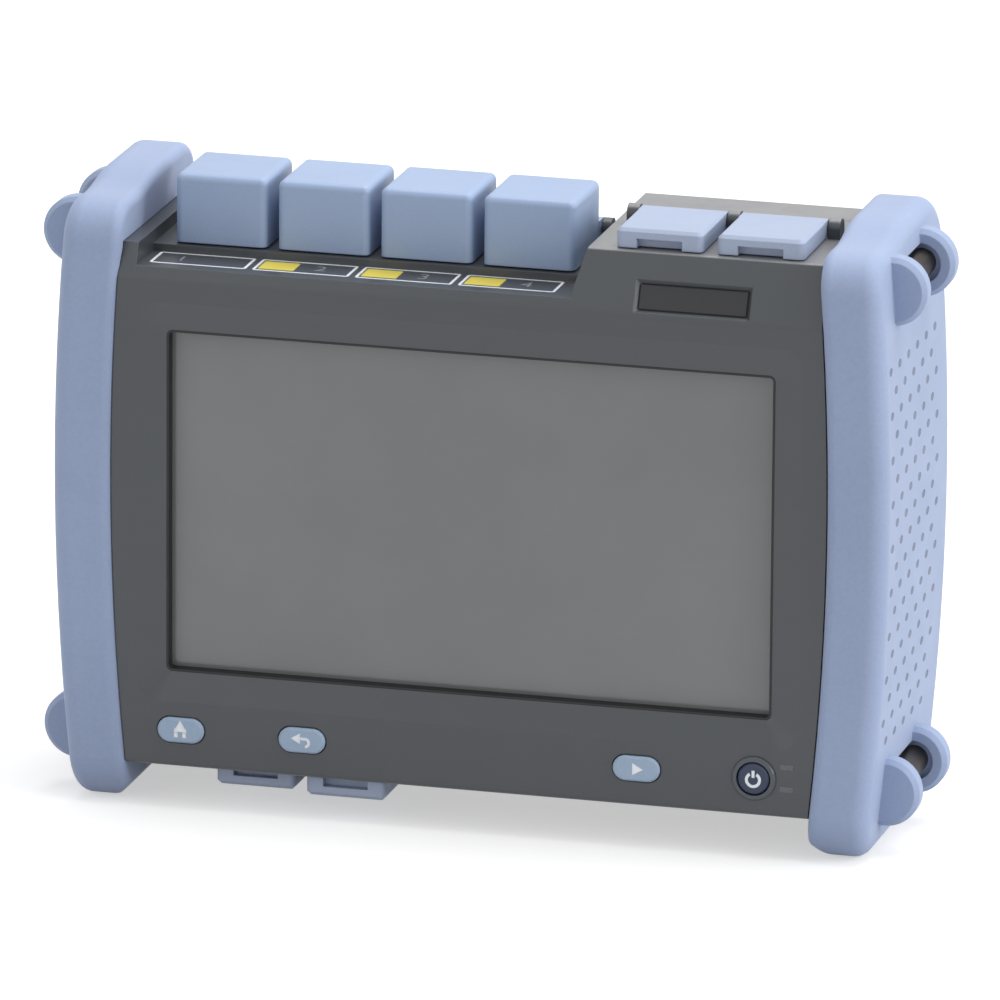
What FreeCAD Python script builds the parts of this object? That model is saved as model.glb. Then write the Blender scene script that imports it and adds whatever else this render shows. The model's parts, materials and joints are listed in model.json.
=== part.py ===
import FreeCAD, Part

import math
import os
from types import SimpleNamespace

import Sketcher

# Optical time domain reflectometer: a handheld fibre tester with a wide display, two rubber
# side guards, hinged dust caps over its optical ports and hinged covers over its sockets.
# Millimetres. +X is to the user's right, +Y is away from the user, +Z is up. The origin is on
# the surface that the guards stand on, in the middle of the width and of the depth.

doc = FreeCAD.newDocument("Reflectometer")
sheet = doc.addObject("Spreadsheet::Sheet", "Dims")

DRIVING_SIZES = {
    # Housing, seen from the front
    "housing_half": 98.5,
    "housing_bottom": 11.1,
    "platform_top": 153.4,
    "ledge_top": 143.4,
    "ledge_end": 26.5,
    "ledge_lean": 2.7,
    "ledge_drop": 2.0,
    "ledge_strip": 16.5,
    "cheek_top": 146.8,
    "cheek_inside": 86.8,
    "bevel_start": 138.5,
    "bevel_back": 6.5,
    # Housing, front to back
    "front_depth": 51.0,
    "body_depth": 65.0,
    "face_step": 3.0,
    "shell_wall": 2.5,
    "face_wall": 4.4,
    "rear_wall": 4.5,
    "platform_wall": 10.0,
    "edge_round": 1.2,
    "bevel_round": 6.0,
    # Rubber guards
    "guard_depth": 70.0,
    "guard_lead": 1.5,
    "guard_inside": 93.1,
    "guard_width": 15.5,
    "side_radius": 750.0,
    "waist_height": 87.0,
    "guard_top": 157.0,
    "hump_top": 159.5,
    "hump_start": 14.0,
    "hump_run": 22.0,
    "front_round": 10.0,
    "rear_top_round": 13.0,
    "bottom_round": 12.0,
    "bottom_bevel": 5.0,
    "guard_edge": 4.5,
    "guard_lip_edge": 2.6,
    "rubber_gap": 0.1,
    # Strap lugs
    "lug_out": 106.0,
    "lug_radius": 8.8,
    "lug_thick": 6.0,
    "lug_front": 12.4,
    "lug_pitch": 30.0,
    "lug_top": 146.0,
    "lug_low": 16.0,
    "lug_bevel": 1.2,
    "channel_radius": 5.2,
    "channel_sink": 2.0,
    "strap_pin_radius": 3.5,
    "strap_pin_seat": 4.0,
    "pin_slack": 0.05,
    # Display
    "display_z": 80.4,
    "window_width": 158.0,
    "window_height": 89.4,
    "window_round": 1.6,
    "dish_slope": 7.5,
    "dish_depth": 2.0,
    "dish_round": 6.0,
    "gasket_wall": 0.6,
    "gasket_flange": 3.4,
    "gasket_thick": 0.8,
    "glass_margin": 4.0,
    "glass_thick": 2.0,
    "panel_margin": 4.5,
    "panel_thick": 5.0,
    # Dust caps and their ledge
    "cap_width": 23.9,
    "cap_depth": 25.0,
    "cap_height": 17.8,
    "cap_pitch": 26.8,
    "cap_first": -69.5,
    "cap_front": 18.0,
    "cap_lift": 0.4,
    "cap_wall": 1.8,
    "cap_round": 1.8,
    "cap_axis_back": 3.2,
    "cap_axis_up": 4.9,
    "cap_knuckle": 2.6,
    "rod_radius": 1.0,
    "side_play": 0.3,
    "ear_radius": 2.6,
    # Optical ports
    "port_back": 12.0,
    "adapter_rise": 10.5,
    "adapter_drop": 14.0,
    "adapter_barrel": 4.0,
    "adapter_bore": 3.1,
    "adapter_depth": 7.5,
    "sleeve_radius": 2.1,
    "ferrule_bore": 1.25,
    "sleeve_sink": 1.0,
    "adapter_flange": 6.5,
    "flange_thick": 1.5,
    "key_slot": 2.2,
    "key_slot_depth": 5.0,
    "meter_barrel": 5.5,
    "meter_bore": 4.4,
    "meter_drop": 10.0,
    "meter_depth": 5.0,
    "meter_flange": 7.5,
    # Hinged socket covers
    "cover_width": 22.3,
    "cover_depth": 23.0,
    "cover_thick": 5.0,
    "cover_round": 1.5,
    "cover_bevel": 0.9,
    "cover_lift": 0.3,
    "cover_axis_back": 3.0,
    "cover_axis_up": 2.5,
    "cover_knuckle": 2.1,
    "cover_pin_radius": 0.8,
    "cover_ear": 3.1,
    "notch_width": 11.7,
    "notch_depth": 2.2,
    "notch_height": 2.4,
    "seal_depth": 1.5,
    "seal_gap": 0.6,
    "seal_wall": 1.4,
    "top_cover_front": 8.0,
    "top_cover_left": 47.2,
    "low_cover_width": 20.8,
    "low_cover_left": -56.4,
    "low_left_front": 5.5,
    "low_right_front": 2.5,
    # Sockets and their boards
    "socket_width": 15.0,
    "socket_depth": 11.4,
    "socket_height": 13.0,
    "socket_sink": 2.0,
    "socket_gap": 0.3,
    "socket_wall": 1.5,
    "top_socket_back": 19.5,
    "low_socket_back": 19.4,
    "board_thick": 1.6,
    "port_board_margin": 3.0,
    "board_post": 2.5,
    "jack_width": 11.8,
    "jack_depth": 6.8,
    "jack_latch": 4.2,
    "jack_latch_depth": 1.6,
    "usb_width": 12.5,
    "usb_tall": 5.1,
    "usb_tongue": 11.1,
    "usb_tongue_tall": 1.8,
    "usb_round": 0.4,
    "service_width": 9.0,
    "service_tall": 3.3,
    "service_tongue": 6.7,
    "service_tongue_tall": 0.7,
    "service_round": 1.4,
    "barrel_radius": 3.2,
    "barrel_pin_radius": 1.0,
    # Keys
    "key_height": 20.9,
    "home_x": -74.5,
    "back_x": -42.6,
    "auto_x": 44.8,
    "power_x": 75.2,
    "key_width": 12.2,
    "key_tall": 6.5,
    "key_rise": 0.9,
    "key_gap": 0.3,
    "key_travel": 1.0,
    "key_flange": 1.2,
    "key_flange_thick": 1.0,
    "key_stem": 1.5,
    "key_stem_length": 1.2,
    "key_bevel": 0.5,
    "power_radius": 4.1,
    "collar_radius": 5.7,
    "collar_rise": 0.7,
    "collar_seat": 1.0,
    "collar_bevel": 0.4,
    "switch_width": 6.0,
    "switch_thick": 1.5,
    "key_board_tall": 9.0,
    "key_board_end": 8.0,
    "led_x": 83.6,
    "led_z": 21.4,
    "led_spacing": 5.8,
    "led_width": 3.4,
    "led_tall": 1.5,
    # Badge recess on the bevel
    "badge_x": 57.5,
    "badge_up": 5.0,
    "badge_width": 30.0,
    "badge_tall": 8.6,
    "badge_depth": 1.3,
    "badge_slope": 1.1,
    "badge_plate": 0.5,
    # Chassis, boards and modules
    "chassis_thick": 1.2,
    "chassis_half": 90.5,
    "chassis_rise": 40.0,
    "chassis_boss_x": 87.5,
    "chassis_boss_rise": 30.0,
    "boss_radius": 3.0,
    "screw_radius": 1.25,
    "screw_length": 6.0,
    "screw_head": 2.4,
    "screw_head_thick": 1.6,
    "standoff_length": 4.8,
    "standoff_radius": 2.5,
    "main_board_width": 150.0,
    "main_board_tall": 78.0,
    "board_corner": 5.0,
    "module_width": 104.0,
    "module_tall": 70.0,
    "module_thick": 12.5,
    "module_round": 3.0,
    # Battery and the back
    "battery_width": 94.0,
    "battery_tall": 60.0,
    "battery_thick": 21.0,
    "battery_z": 67.0,
    "bay_gap": 0.5,
    "bay_wall": 2.0,
    "lid_margin": 4.0,
    "lid_flap": 8.5,
    "lid_gap": 0.3,
    "lid_thick": 2.2,
    "lid_screw_in": 4.5,
    "lid_screw_x": 40.0,
    "lid_grip_half": 14.0,
    "lid_grip_tall": 5.0,
    "lid_grip_depth": 0.9,
    "vent_count": 9,
    "vent_pitch": 5.0,
    "vent_width": 2.0,
    "vent_tall": 12.0,
    "vent_z": 126.0,
    "corner_screw_x": 87.5,
    "corner_screw_low": 36.0,
    "corner_screw_high": 135.5,
    "corner_boss": 3.5,
    "corner_screw_radius": 1.5,
    "corner_head": 2.8,
    "corner_head_thick": 2.0,
    "corner_screw_length": 20.0,
    # Stand on the back
    "stand_axis_z": 108.0,
    "stand_half": 70.0,
    "stand_leg": 8.0,
    "stand_foot": 21.0,
    "stand_bar": 9.0,
    "stand_thick": 4.0,
    "stand_sink": 2.7,
    "stand_gap": 0.3,
    "stand_round": 9.0,
    "stand_inner_round": 3.0,
    "stand_eye_round": 1.8,
    "stand_bevel": 0.8,
    "scoop_half": 13.0,
    "scoop_tall": 8.0,
    "stand_lug": 4.0,
    "stand_lug_radius": 2.5,
    "stand_pin_radius": 1.0,
}


class Size:
    """A length together with the sheet expression that gives it, so that sums stay bound."""

    def __init__(self, value, text):
        self.value = value
        self.text = text

    def __add__(self, other):
        other = as_size(other)
        return Size(self.value + other.value, f"({self.text} + {other.text})")

    def __sub__(self, other):
        other = as_size(other)
        return Size(self.value - other.value, f"({self.text} - {other.text})")

    def __mul__(self, other):
        other = as_size(other)
        return Size(self.value * other.value, f"({self.text} * {other.text})")

    def __truediv__(self, other):
        other = as_size(other)
        return Size(self.value / other.value, f"({self.text} / {other.text})")

    def __neg__(self):
        return Size(-self.value, f"(0 - {self.text})")

    def __rmul__(self, other):
        return as_size(other) * self

    def __radd__(self, other):
        return as_size(other) + self


def as_size(item):
    """A Size as it is, or a plain number as a Size."""
    if isinstance(item, Size):
        return item
    return Size(float(item), f"({float(item):g})")


def fill_sheet():
    """Write each driving size into the sheet and give back the bound sizes by name."""
    sizes = {}
    for row, (alias, number) in enumerate(DRIVING_SIZES.items(), start=1):
        sheet.set(f"A{row}", alias)
        sheet.set(f"B{row}", str(number))
        sheet.setAlias(f"B{row}", alias)
        sizes[alias] = Size(float(number), f"Dims.{alias}")
    doc.recompute()
    return SimpleNamespace(**sizes)


d = fill_sheet()

# Planes that many pieces share
FRONT = d.guard_lead - d.guard_depth / 2
BACK = FRONT + d.body_depth
SPLIT = FRONT + d.front_depth
STEP_PLANE = FRONT + d.face_step
REAR_STEP = BACK - d.face_step
FACE_INSIDE = FRONT + d.face_wall
REAR_INSIDE = BACK - d.rear_wall
GLASS_FRONT = FACE_INSIDE + d.gasket_thick
PANEL_FRONT = GLASS_FRONT + d.glass_thick
CHASSIS_FRONT = PANEL_FRONT + d.panel_thick
CHASSIS_BACK = CHASSIS_FRONT + d.chassis_thick
BOARD_FRONT = CHASSIS_BACK + d.standoff_length
BOARD_BACK = BOARD_FRONT + d.board_thick
CAP_AXIS_Y = FRONT + d.cap_front + d.cap_depth + d.cap_axis_back
CAP_AXIS_Z = d.ledge_top + d.cap_axis_up
STAND_FRONT = BACK - d.stand_sink + d.stand_gap
STAND_AXIS_Y = STAND_FRONT + d.stand_thick / 2
ZERO = as_size(0)
nodes = []


# ---------------------------------------------------------------- sketches and features

PLANE_ROLES = {"XY": "XY_Plane", "XZ": "XZ_Plane", "YZ": "YZ_Plane"}


def new_body(name):
    """An empty PartDesign body that will be written as one node."""
    body = doc.addObject("PartDesign::Body", name)
    body.Label = name
    nodes.append(body)
    return body


def origin_feature(body, role):
    """The origin plane or axis of a body that has this role."""
    return next(item for item in body.Origin.OriginFeatures if item.Role == role)


def new_sketch(body, plane, level=ZERO):
    """An empty sketch on a plane of the body, at a level along the plane's own axis."""
    level = as_size(level)
    sketch = body.newObject("Sketcher::SketchObject", "Sketch")
    sketch.AttachmentSupport = [(origin_feature(body, PLANE_ROLES[plane]), "")]
    sketch.MapMode = "FlatFace"
    offset = -level if plane == "XZ" else level
    sketch.setExpression("AttachmentOffset.Base.z", offset.text)
    return sketch


def hold_place(sketch, kind, geometry, end, size):
    """Tie one coordinate of a point of a sketch to its size."""
    index = sketch.addConstraint(Sketcher.Constraint(kind, -1, 1, geometry, end, size.value))
    sketch.setExpression(f"Constraints[{index}]", size.text)


def hold_point(sketch, geometry, end, x, y):
    """Tie one point of a sketch to its two sizes."""
    hold_place(sketch, "DistanceX", geometry, end, x)
    hold_place(sketch, "DistanceY", geometry, end, y)


def hold_arc(sketch, geometry, start, end, radius):
    """Tie an arc between two held points by its radius, or a half circle by its centre."""
    chord = math.hypot(end[0].value - start[0].value, end[1].value - start[1].value)
    if abs(chord / 2 - radius.value) > 1e-6:
        hold_radius(sketch, geometry, radius)
    elif abs(end[0].value - start[0].value) < 1e-6:
        hold_place(sketch, "DistanceX", geometry, 3, start[0])
    else:
        hold_place(sketch, "DistanceY", geometry, 3, start[1])


def hold_radius(sketch, geometry, radius):
    """Tie the radius of an arc or a circle to its size."""
    index = sketch.addConstraint(Sketcher.Constraint("Radius", geometry, radius.value))
    sketch.setExpression(f"Constraints[{index}]", radius.text)


def short_arc(start, end, radius, turn):
    """The shorter arc from start to end, which the sketcher keeps anticlockwise. Turn 1 has its
    centre to the left of the way from start to end, and turn -1 to the right."""
    chord = end - start
    half = chord.Length / 2
    away = math.sqrt(max(radius * radius - half * half, 0.0))
    left = FreeCAD.Vector(-chord.y, chord.x, 0)
    left.normalize()
    centre = (start + end) * 0.5 + left * (away * turn)
    first, last = (start, end) if turn > 0 else (end, start)
    circle = Part.Circle(centre, FreeCAD.Vector(0, 0, 1), radius)
    angles = [math.atan2(point.y - centre.y, point.x - centre.x) for point in (first, last)]
    return Part.ArcOfCircle(circle, *angles)


def draw_outline(sketch, corners):
    """A closed outline. Each corner is (x, y) or, where the edge that leaves it is an arc,
    (x, y, radius, turn)."""
    points = []
    for corner in corners:
        points.append((as_size(corner[0]), as_size(corner[1])))
    ends = []
    for index, corner in enumerate(corners):
        x, y = points[index]
        next_x, next_y = points[(index + 1) % len(points)]
        start = FreeCAD.Vector(x.value, y.value, 0)
        end = FreeCAD.Vector(next_x.value, next_y.value, 0)
        if len(corner) == 2:
            sketch.addGeometry(Part.LineSegment(start, end))
            ends.append((1, 2))
        else:
            sketch.addGeometry(short_arc(start, end, as_size(corner[2]).value, corner[3]))
            ends.append((1, 2) if corner[3] > 0 else (2, 1))
    base = sketch.GeometryCount - len(corners)
    for index, corner in enumerate(corners):
        following = (index + 1) % len(corners)
        sketch.addConstraint(Sketcher.Constraint(
            "Coincident", base + index, ends[index][1], base + following, ends[following][0]))
        hold_point(sketch, base + index, ends[index][0], *points[index])
        if len(corner) > 2:
            hold_arc(sketch, base + index, points[index], points[following],
                     as_size(corner[2]))


def draw_rectangle(sketch, left, right, low, high):
    """A plain rectangle."""
    draw_outline(sketch, [(left, low), (right, low), (right, high), (left, high)])


def draw_rounded(sketch, left, right, low, high, radius):
    """A rectangle with four round corners."""
    left, right, low, high, radius = map(as_size, (left, right, low, high, radius))
    draw_outline(sketch, [
        (left + radius, low), (right - radius, low, radius, 1),
        (right, low + radius), (right, high - radius, radius, 1),
        (right - radius, high), (left + radius, high, radius, 1),
        (left, high - radius), (left, low + radius, radius, 1)])


def draw_circle(sketch, x, y, radius):
    """A full circle."""
    x, y, radius = map(as_size, (x, y, radius))
    number = sketch.addGeometry(Part.Circle(
        FreeCAD.Vector(x.value, y.value, 0), FreeCAD.Vector(0, 0, 1), radius.value))
    hold_point(sketch, number, 3, x, y)
    hold_radius(sketch, number, radius)


def draw_capsule(sketch, x, y, width, tall):
    """A slot shape that lies along the sketch's x axis."""
    x, y, width, tall = map(as_size, (x, y, width, tall))
    radius = tall / 2
    straight = width / 2 - radius
    draw_outline(sketch, [
        (x - straight, y - radius), (x + straight, y - radius, radius, 1),
        (x + straight, y + radius), (x - straight, y + radius, radius, 1)])


def faces_up(sketch):
    """True where the sketch's normal points along its plus axis; a front plane's doesn't."""
    return "XZ" not in sketch.AttachmentSupport[0][0].Role


def pad(body, sketch, length, forward=True):
    """Add the sketch's outline along its plus axis, or along its minus axis."""
    feature = body.newObject("PartDesign::Pad", "Pad")
    feature.Profile = sketch
    feature.Reversed = faces_up(sketch) != forward
    feature.setExpression("Length", as_size(length).text)
    doc.recompute()
    return feature


def pocket(body, sketch, length, forward=True):
    """Cut the sketch's outline along its plus axis, or along its minus axis."""
    before = body.Shape.Volume
    feature = body.newObject("PartDesign::Pocket", "Pocket")
    feature.Profile = sketch
    feature.Reversed = faces_up(sketch) == forward
    feature.setExpression("Length", as_size(length).text)
    doc.recompute()
    if body.Shape.Volume >= before - 1e-6:
        raise RuntimeError(f"{feature.Name} in {body.Label} cut nothing")
    return feature


def loft_cut(body, sketches):
    """Cut a tapered form between two outlines."""
    feature = body.newObject("PartDesign::SubtractiveLoft", "TaperedCut")
    feature.Profile = sketches[0]
    feature.Sections = sketches[1:]
    doc.recompute()
    return feature


def edge_names(shape, test):
    """The names of the edges that pass a test."""
    return [f"Edge{number}" for number, edge in enumerate(shape.Edges, start=1) if test(edge)]


def dress(body, kind, size_name, size, test):
    """A round or a bevel on the edges of the body's tip that pass a test."""
    tip = body.Tip
    names = edge_names(tip.Shape, test)
    if not names:
        raise RuntimeError(f"no edges for a {kind} of {body.Label}")
    feature = body.newObject(f"PartDesign::{kind}", kind)
    feature.Base = (tip, names)
    feature.setExpression(size_name, as_size(size).text)
    doc.recompute()


def fillet(body, radius, test):
    """Round the edges of the body that pass a test."""
    dress(body, "Fillet", "Radius", radius, test)


def chamfer(body, width, test):
    """Bevel the edges of the body that pass a test."""
    dress(body, "Chamfer", "Size", width, test)


def repeat_along_x(body, feature, pitch, count):
    """Copies of a feature in a row along X."""
    pattern = body.newObject("PartDesign::LinearPattern", "Row")
    pattern.Originals = [feature]
    pattern.Direction = (origin_feature(body, "X_Axis"), [""])
    pattern.setExpression("Length", (as_size(pitch) * (as_size(count) - 1)).text)
    pattern.setExpression("Occurrences", as_size(count).text)
    body.Tip = pattern
    doc.recompute()
    return pattern


def near(value, size, slack=0.02):
    """True where a number is at a size."""
    return abs(value - as_size(size).value) < slack


def lies_at(edge, **places):
    """True where all of an edge lies at the given x, y or z."""
    box = edge.BoundBox
    for axis, size in places.items():
        low = getattr(box, axis.upper() + "Min")
        high = getattr(box, axis.upper() + "Max")
        if not (near(low, size) and near(high, size)):
            return False
    return True


def runs_along(edge, axis):
    """True for a straight edge along an axis."""
    box = edge.BoundBox
    spans = {"x": box.XLength, "y": box.YLength, "z": box.ZLength}
    return spans[axis] > 1e-3 and all(spans[other] < 1e-3 for other in spans if other != axis)


def place(item, x=ZERO, y=ZERO, z=ZERO):
    """Bind the place of a sub-part."""
    for axis, size in (("x", x), ("y", y), ("z", z)):
        item.setExpression(f"Placement.Base.{axis}", as_size(size).text)
    return item


# ---------------------------------------------------------------- primitives


def block(name, x_range, y_range, z_range, is_node=True):
    """A plain box between sizes."""
    box = doc.addObject("Part::Box", name)
    box.Label = name
    for prop, (low, high) in zip(("Length", "Width", "Height"), (x_range, y_range, z_range)):
        box.setExpression(prop, (as_size(high) - as_size(low)).text)
    place(box, x_range[0], y_range[0], z_range[0])
    if is_node:
        nodes.append(box)
    return box


TURNS = {
    "x": FreeCAD.Rotation(FreeCAD.Vector(0, 1, 0), 90),
    "y": FreeCAD.Rotation(FreeCAD.Vector(1, 0, 0), -90),
    "z": FreeCAD.Rotation(),
}


def rod(name, axis, x, y, z, radius, length, is_node=True):
    """A round bar that starts at a point and runs along an axis."""
    bar = doc.addObject("Part::Cylinder", name)
    bar.Label = name
    bar.Placement = FreeCAD.Placement(FreeCAD.Vector(), TURNS[axis])
    bar.setExpression("Radius", as_size(radius).text)
    bar.setExpression("Height", as_size(length).text)
    place(bar, x, y, z)
    if is_node:
        nodes.append(bar)
    return bar


def group(name, members):
    """Several like solids in one node."""
    compound = doc.addObject("Part::Compound", name)
    compound.Label = name
    compound.Links = members
    nodes.append(compound)
    return compound


def tube(name, axis, x, y, z, radius, bore, length):
    """A round bar with a bore along it."""
    difference = doc.addObject("Part::Cut", name)
    difference.Label = name
    difference.Base = rod(name + "_outside", axis, x, y, z, radius, length, is_node=False)
    difference.Tool = rod(name + "_bore", axis, x, y, z, bore, length, is_node=False)
    return difference


def screw(name, axis, place_of_head, points_up, radius, length, head, head_thick):
    """A pan-head screw along an axis. The place is the middle of its head's underside, and
    its point looks along the axis or against it."""
    along = "xyz".index(axis)
    shank_start = [as_size(size) for size in place_of_head]
    head_start = list(shank_start)
    if points_up:
        head_start[along] = head_start[along] - head_thick
    else:
        shank_start[along] = shank_start[along] - length
    union = doc.addObject("Part::MultiFuse", name)
    union.Label = name
    union.Shapes = [rod(name + "_shank", axis, *shank_start, radius, length, is_node=False),
                    rod(name + "_head", axis, *head_start, head, head_thick, is_node=False)]
    union.Refine = True
    return union


# ---------------------------------------------------------------- shared outlines and places


def root(size):
    """The square root of a size."""
    return Size(math.sqrt(size.value), f"sqrt({size.text})")


def bow(z):
    """How far a bowed side has drawn in at a height, from its widest place at the waist."""
    away = as_size(z) - d.waist_height
    return d.side_radius - root(d.side_radius * d.side_radius - away * away)


def face_edge(z):
    """Half the width of the housing's face at a height, where the rubber's lips meet it."""
    return d.guard_inside - d.rubber_gap - bow(z)


def stepped_top(left, right):
    """The corners of the housing's top from right to left: platform, ledge and cheek."""
    return [
        (right, d.platform_top),
        (d.ledge_end + d.ledge_lean, d.platform_top),
        (d.ledge_end, d.ledge_top),
        (-d.cheek_inside, d.ledge_top),
        (-d.cheek_inside, d.cheek_top),
        (left, d.cheek_top)]


def draw_housing(sketch):
    """The housing's full outline, as the guards cover it."""
    corners = [(-d.housing_half, d.housing_bottom), (d.housing_half, d.housing_bottom)]
    draw_outline(sketch, corners + stepped_top(-d.housing_half, d.housing_half))


def draw_face(sketch):
    """The outline of the housing's front or back face between the guards' bowed lips."""
    low = face_edge(d.housing_bottom)
    corners = [
        (-low, d.housing_bottom),
        (low, d.housing_bottom, d.side_radius, 1)]
    corners += stepped_top(-face_edge(d.cheek_top), face_edge(d.platform_top))
    corners[-1] = corners[-1] + (d.side_radius, 1)
    draw_outline(sketch, corners)


COVERS = {
    # name: middle, front edge from the face, width, top (1) or bottom (-1)
    "top_cover_left": (d.top_cover_left, d.top_cover_front, d.cover_width, 1),
    "top_cover_right": (d.top_cover_left + d.cover_width + d.cover_ear + d.side_play * 2,
                        d.top_cover_front, d.cover_width, 1),
    "low_cover_left": (d.low_cover_left, d.low_left_front, d.low_cover_width, -1),
    "low_cover_right": (d.low_cover_left + d.low_cover_width + d.cover_ear + d.side_play * 2,
                        d.low_right_front, d.low_cover_width, -1),
}


def cover_surface(side):
    """The height of the surface that a cover closes on."""
    return d.platform_top if side > 0 else d.housing_bottom


def cover_axis(front, side):
    """Where a cover's hinge pin lies, in Y and Z."""
    y = FRONT + front + d.cover_depth + d.cover_axis_back
    return y, cover_surface(side) + d.cover_axis_up * side


def socket_y(side):
    """The middle of a row of sockets, in Y."""
    return FRONT + (d.top_socket_back if side > 0 else d.low_socket_back)


def cap_x(number):
    """The middle of a dust cap and of the port under it."""
    return d.cap_first + d.cap_pitch * number


KEYS = {"home_key": d.home_x, "back_key": d.back_x, "auto_key": d.auto_x, "power_key": d.power_x}
CAP_COUNT = 4
EAR_THICK = d.cap_pitch - d.cap_width - d.side_play * 2
FIRST_EAR = d.cap_first - d.cap_width / 2 - d.side_play - EAR_THICK
SWITCH_FRONT = (FACE_INSIDE + d.key_gap + d.key_flange_thick + d.key_stem_length
                + d.key_travel + d.key_gap)
KEY_BOARD_FRONT = SWITCH_FRONT + d.switch_thick
SIDES = (-1, 1)
BEVEL_RISE = d.platform_top - d.bevel_start
BEVEL_LENGTH = root(BEVEL_RISE * BEVEL_RISE + d.bevel_back * d.bevel_back)
LID_HALF = d.battery_width / 2 + d.bay_gap + d.lid_margin
LID_LOW = d.battery_z - d.battery_tall / 2 - d.bay_gap - d.lid_margin
LID_HIGH = d.battery_z + d.battery_tall / 2 + d.bay_gap + d.lid_flap
LID_SCREW_Z = LID_HIGH - d.lid_screw_in
KEY_BOSSES = (d.back_x / 2 + d.home_x / 2, ZERO, d.auto_x / 2 + d.power_x / 2)


def bevel_sketch(body, depth):
    """A sketch on the bevel, or under it at a depth. Its x runs along X and its y up the slope,
    from the bevel's lower edge."""
    sketch = body.newObject("Sketcher::SketchObject", "Sketch")
    sketch.AttachmentSupport = [(origin_feature(body, "XZ_Plane"), "")]
    sketch.MapMode = "FlatFace"
    sketch.AttachmentOffset = FreeCAD.Placement(
        FreeCAD.Vector(), FreeCAD.Rotation(FreeCAD.Vector(-1, 0, 0), 10))
    up = d.bevel_start - as_size(depth) * d.bevel_back / BEVEL_LENGTH
    out = -FRONT - as_size(depth) * BEVEL_RISE / BEVEL_LENGTH
    sketch.setExpression("AttachmentOffset.Base.y", up.text)
    sketch.setExpression("AttachmentOffset.Base.z", out.text)
    angle = f"atan({d.bevel_back.text} / {BEVEL_RISE.text})"
    sketch.setExpression("AttachmentOffset.Rotation.Angle", angle)
    return sketch


def draw_badge(sketch, inset):
    """The badge's outline on the bevel."""
    half = d.badge_width / 2 - inset
    tall = d.badge_tall / 2 - inset
    draw_rectangle(sketch, d.badge_x - half, d.badge_x + half, d.badge_up - tall, d.badge_up + tall)


# ---------------------------------------------------------------- housing


def add_hinge_ear(body, x, thick, y, z, radius, foot):
    """A round-topped ear along X that stands on the surface at foot and holds a pin."""
    up = 1 if z.value > foot.value else -1
    sketch = new_sketch(body, "YZ", x)
    draw_outline(sketch, [
        (y - radius, foot - d.edge_round * up), (y + radius, foot - d.edge_round * up),
        (y + radius, z, radius, up), (y - radius, z)])
    return pad(body, sketch, thick)


def add_hole(body, plane, level, x, y, radius, length, forward=True):
    """A round hole."""
    sketch = new_sketch(body, plane, level)
    draw_circle(sketch, x, y, radius)
    return pocket(body, sketch, length, forward)


def add_posts(body, plane, level, places, radius, length, forward=True):
    """Round posts, one at each place."""
    sketch = new_sketch(body, plane, level)
    for x, y in places:
        draw_circle(sketch, x, y, radius)
    return pad(body, sketch, length, forward)


def chassis_places():
    """The four chassis screws, in X and Z."""
    return [(d.chassis_boss_x * side, d.display_z + d.chassis_boss_rise * up)
            for side in SIDES for up in SIDES]


def corner_places():
    """The four housing screws, in X and Z."""
    return [(d.corner_screw_x * side, z)
            for side in SIDES for z in (d.corner_screw_low, d.corner_screw_high)]


def port_board_posts(side):
    """The two posts between a pair of sockets that carry their board, in X and Y."""
    if side > 0:
        middle = (COVERS["top_cover_left"][0] + COVERS["top_cover_right"][0]) / 2
    else:
        middle = (COVERS["low_cover_left"][0] + COVERS["low_cover_right"][0]) / 2
    return [(middle, socket_y(side) + d.socket_depth / 4 * up) for up in SIDES]


def port_board_face(side):
    """The height of the face that a port board turns to its sockets."""
    return cover_surface(side) - (d.socket_sink + d.socket_height) * side


def shape_front(body):
    """The outer form: stepped top, front plate, bevel and the dish around the display."""
    sketch = new_sketch(body, "XZ", STEP_PLANE)
    draw_housing(sketch)
    pad(body, sketch, d.front_depth - d.face_step)
    sketch = new_sketch(body, "XZ", FRONT)
    draw_face(sketch)
    pad(body, sketch, d.face_step)
    sketch = new_sketch(body, "YZ", -d.housing_half - d.edge_round)
    draw_outline(sketch, [
        (FRONT, d.bevel_start), (FRONT + d.bevel_back, d.platform_top),
        (FRONT + d.bevel_back, d.platform_top + d.edge_round),
        (FRONT - d.edge_round, d.platform_top + d.edge_round),
        (FRONT - d.edge_round, d.bevel_start)])
    pocket(body, sketch, (d.housing_half + d.edge_round) * 2)
    fillet(body, d.edge_round, lambda edge: runs_along(edge, "x") and (
        lies_at(edge, y=FRONT, z=d.housing_bottom)
        or lies_at(edge, y=FRONT + d.bevel_back, z=d.platform_top)))
    fillet(body, d.bevel_round, lambda edge: runs_along(edge, "x") and lies_at(
        edge, y=FRONT, z=d.bevel_start))
    outlines = []
    for grow, depth, radius in ((d.dish_slope, ZERO, d.dish_round),
                                (ZERO, d.dish_depth, d.window_round)):
        sketch = new_sketch(body, "XZ", FRONT + depth)
        draw_window(sketch, grow, radius)
        outlines.append(sketch)
    loft_cut(body, outlines)
    sketch = new_sketch(body, "XZ", FRONT)
    draw_window(sketch, ZERO, d.window_round)
    pocket(body, sketch, d.face_wall)


def draw_window(sketch, grow, radius):
    """The display window's outline, grown on all sides."""
    half_width = d.window_width / 2 + grow
    half_height = d.window_height / 2 + grow
    draw_rounded(sketch, -half_width, half_width, d.display_z - half_height,
                 d.display_z + half_height, radius)


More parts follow.
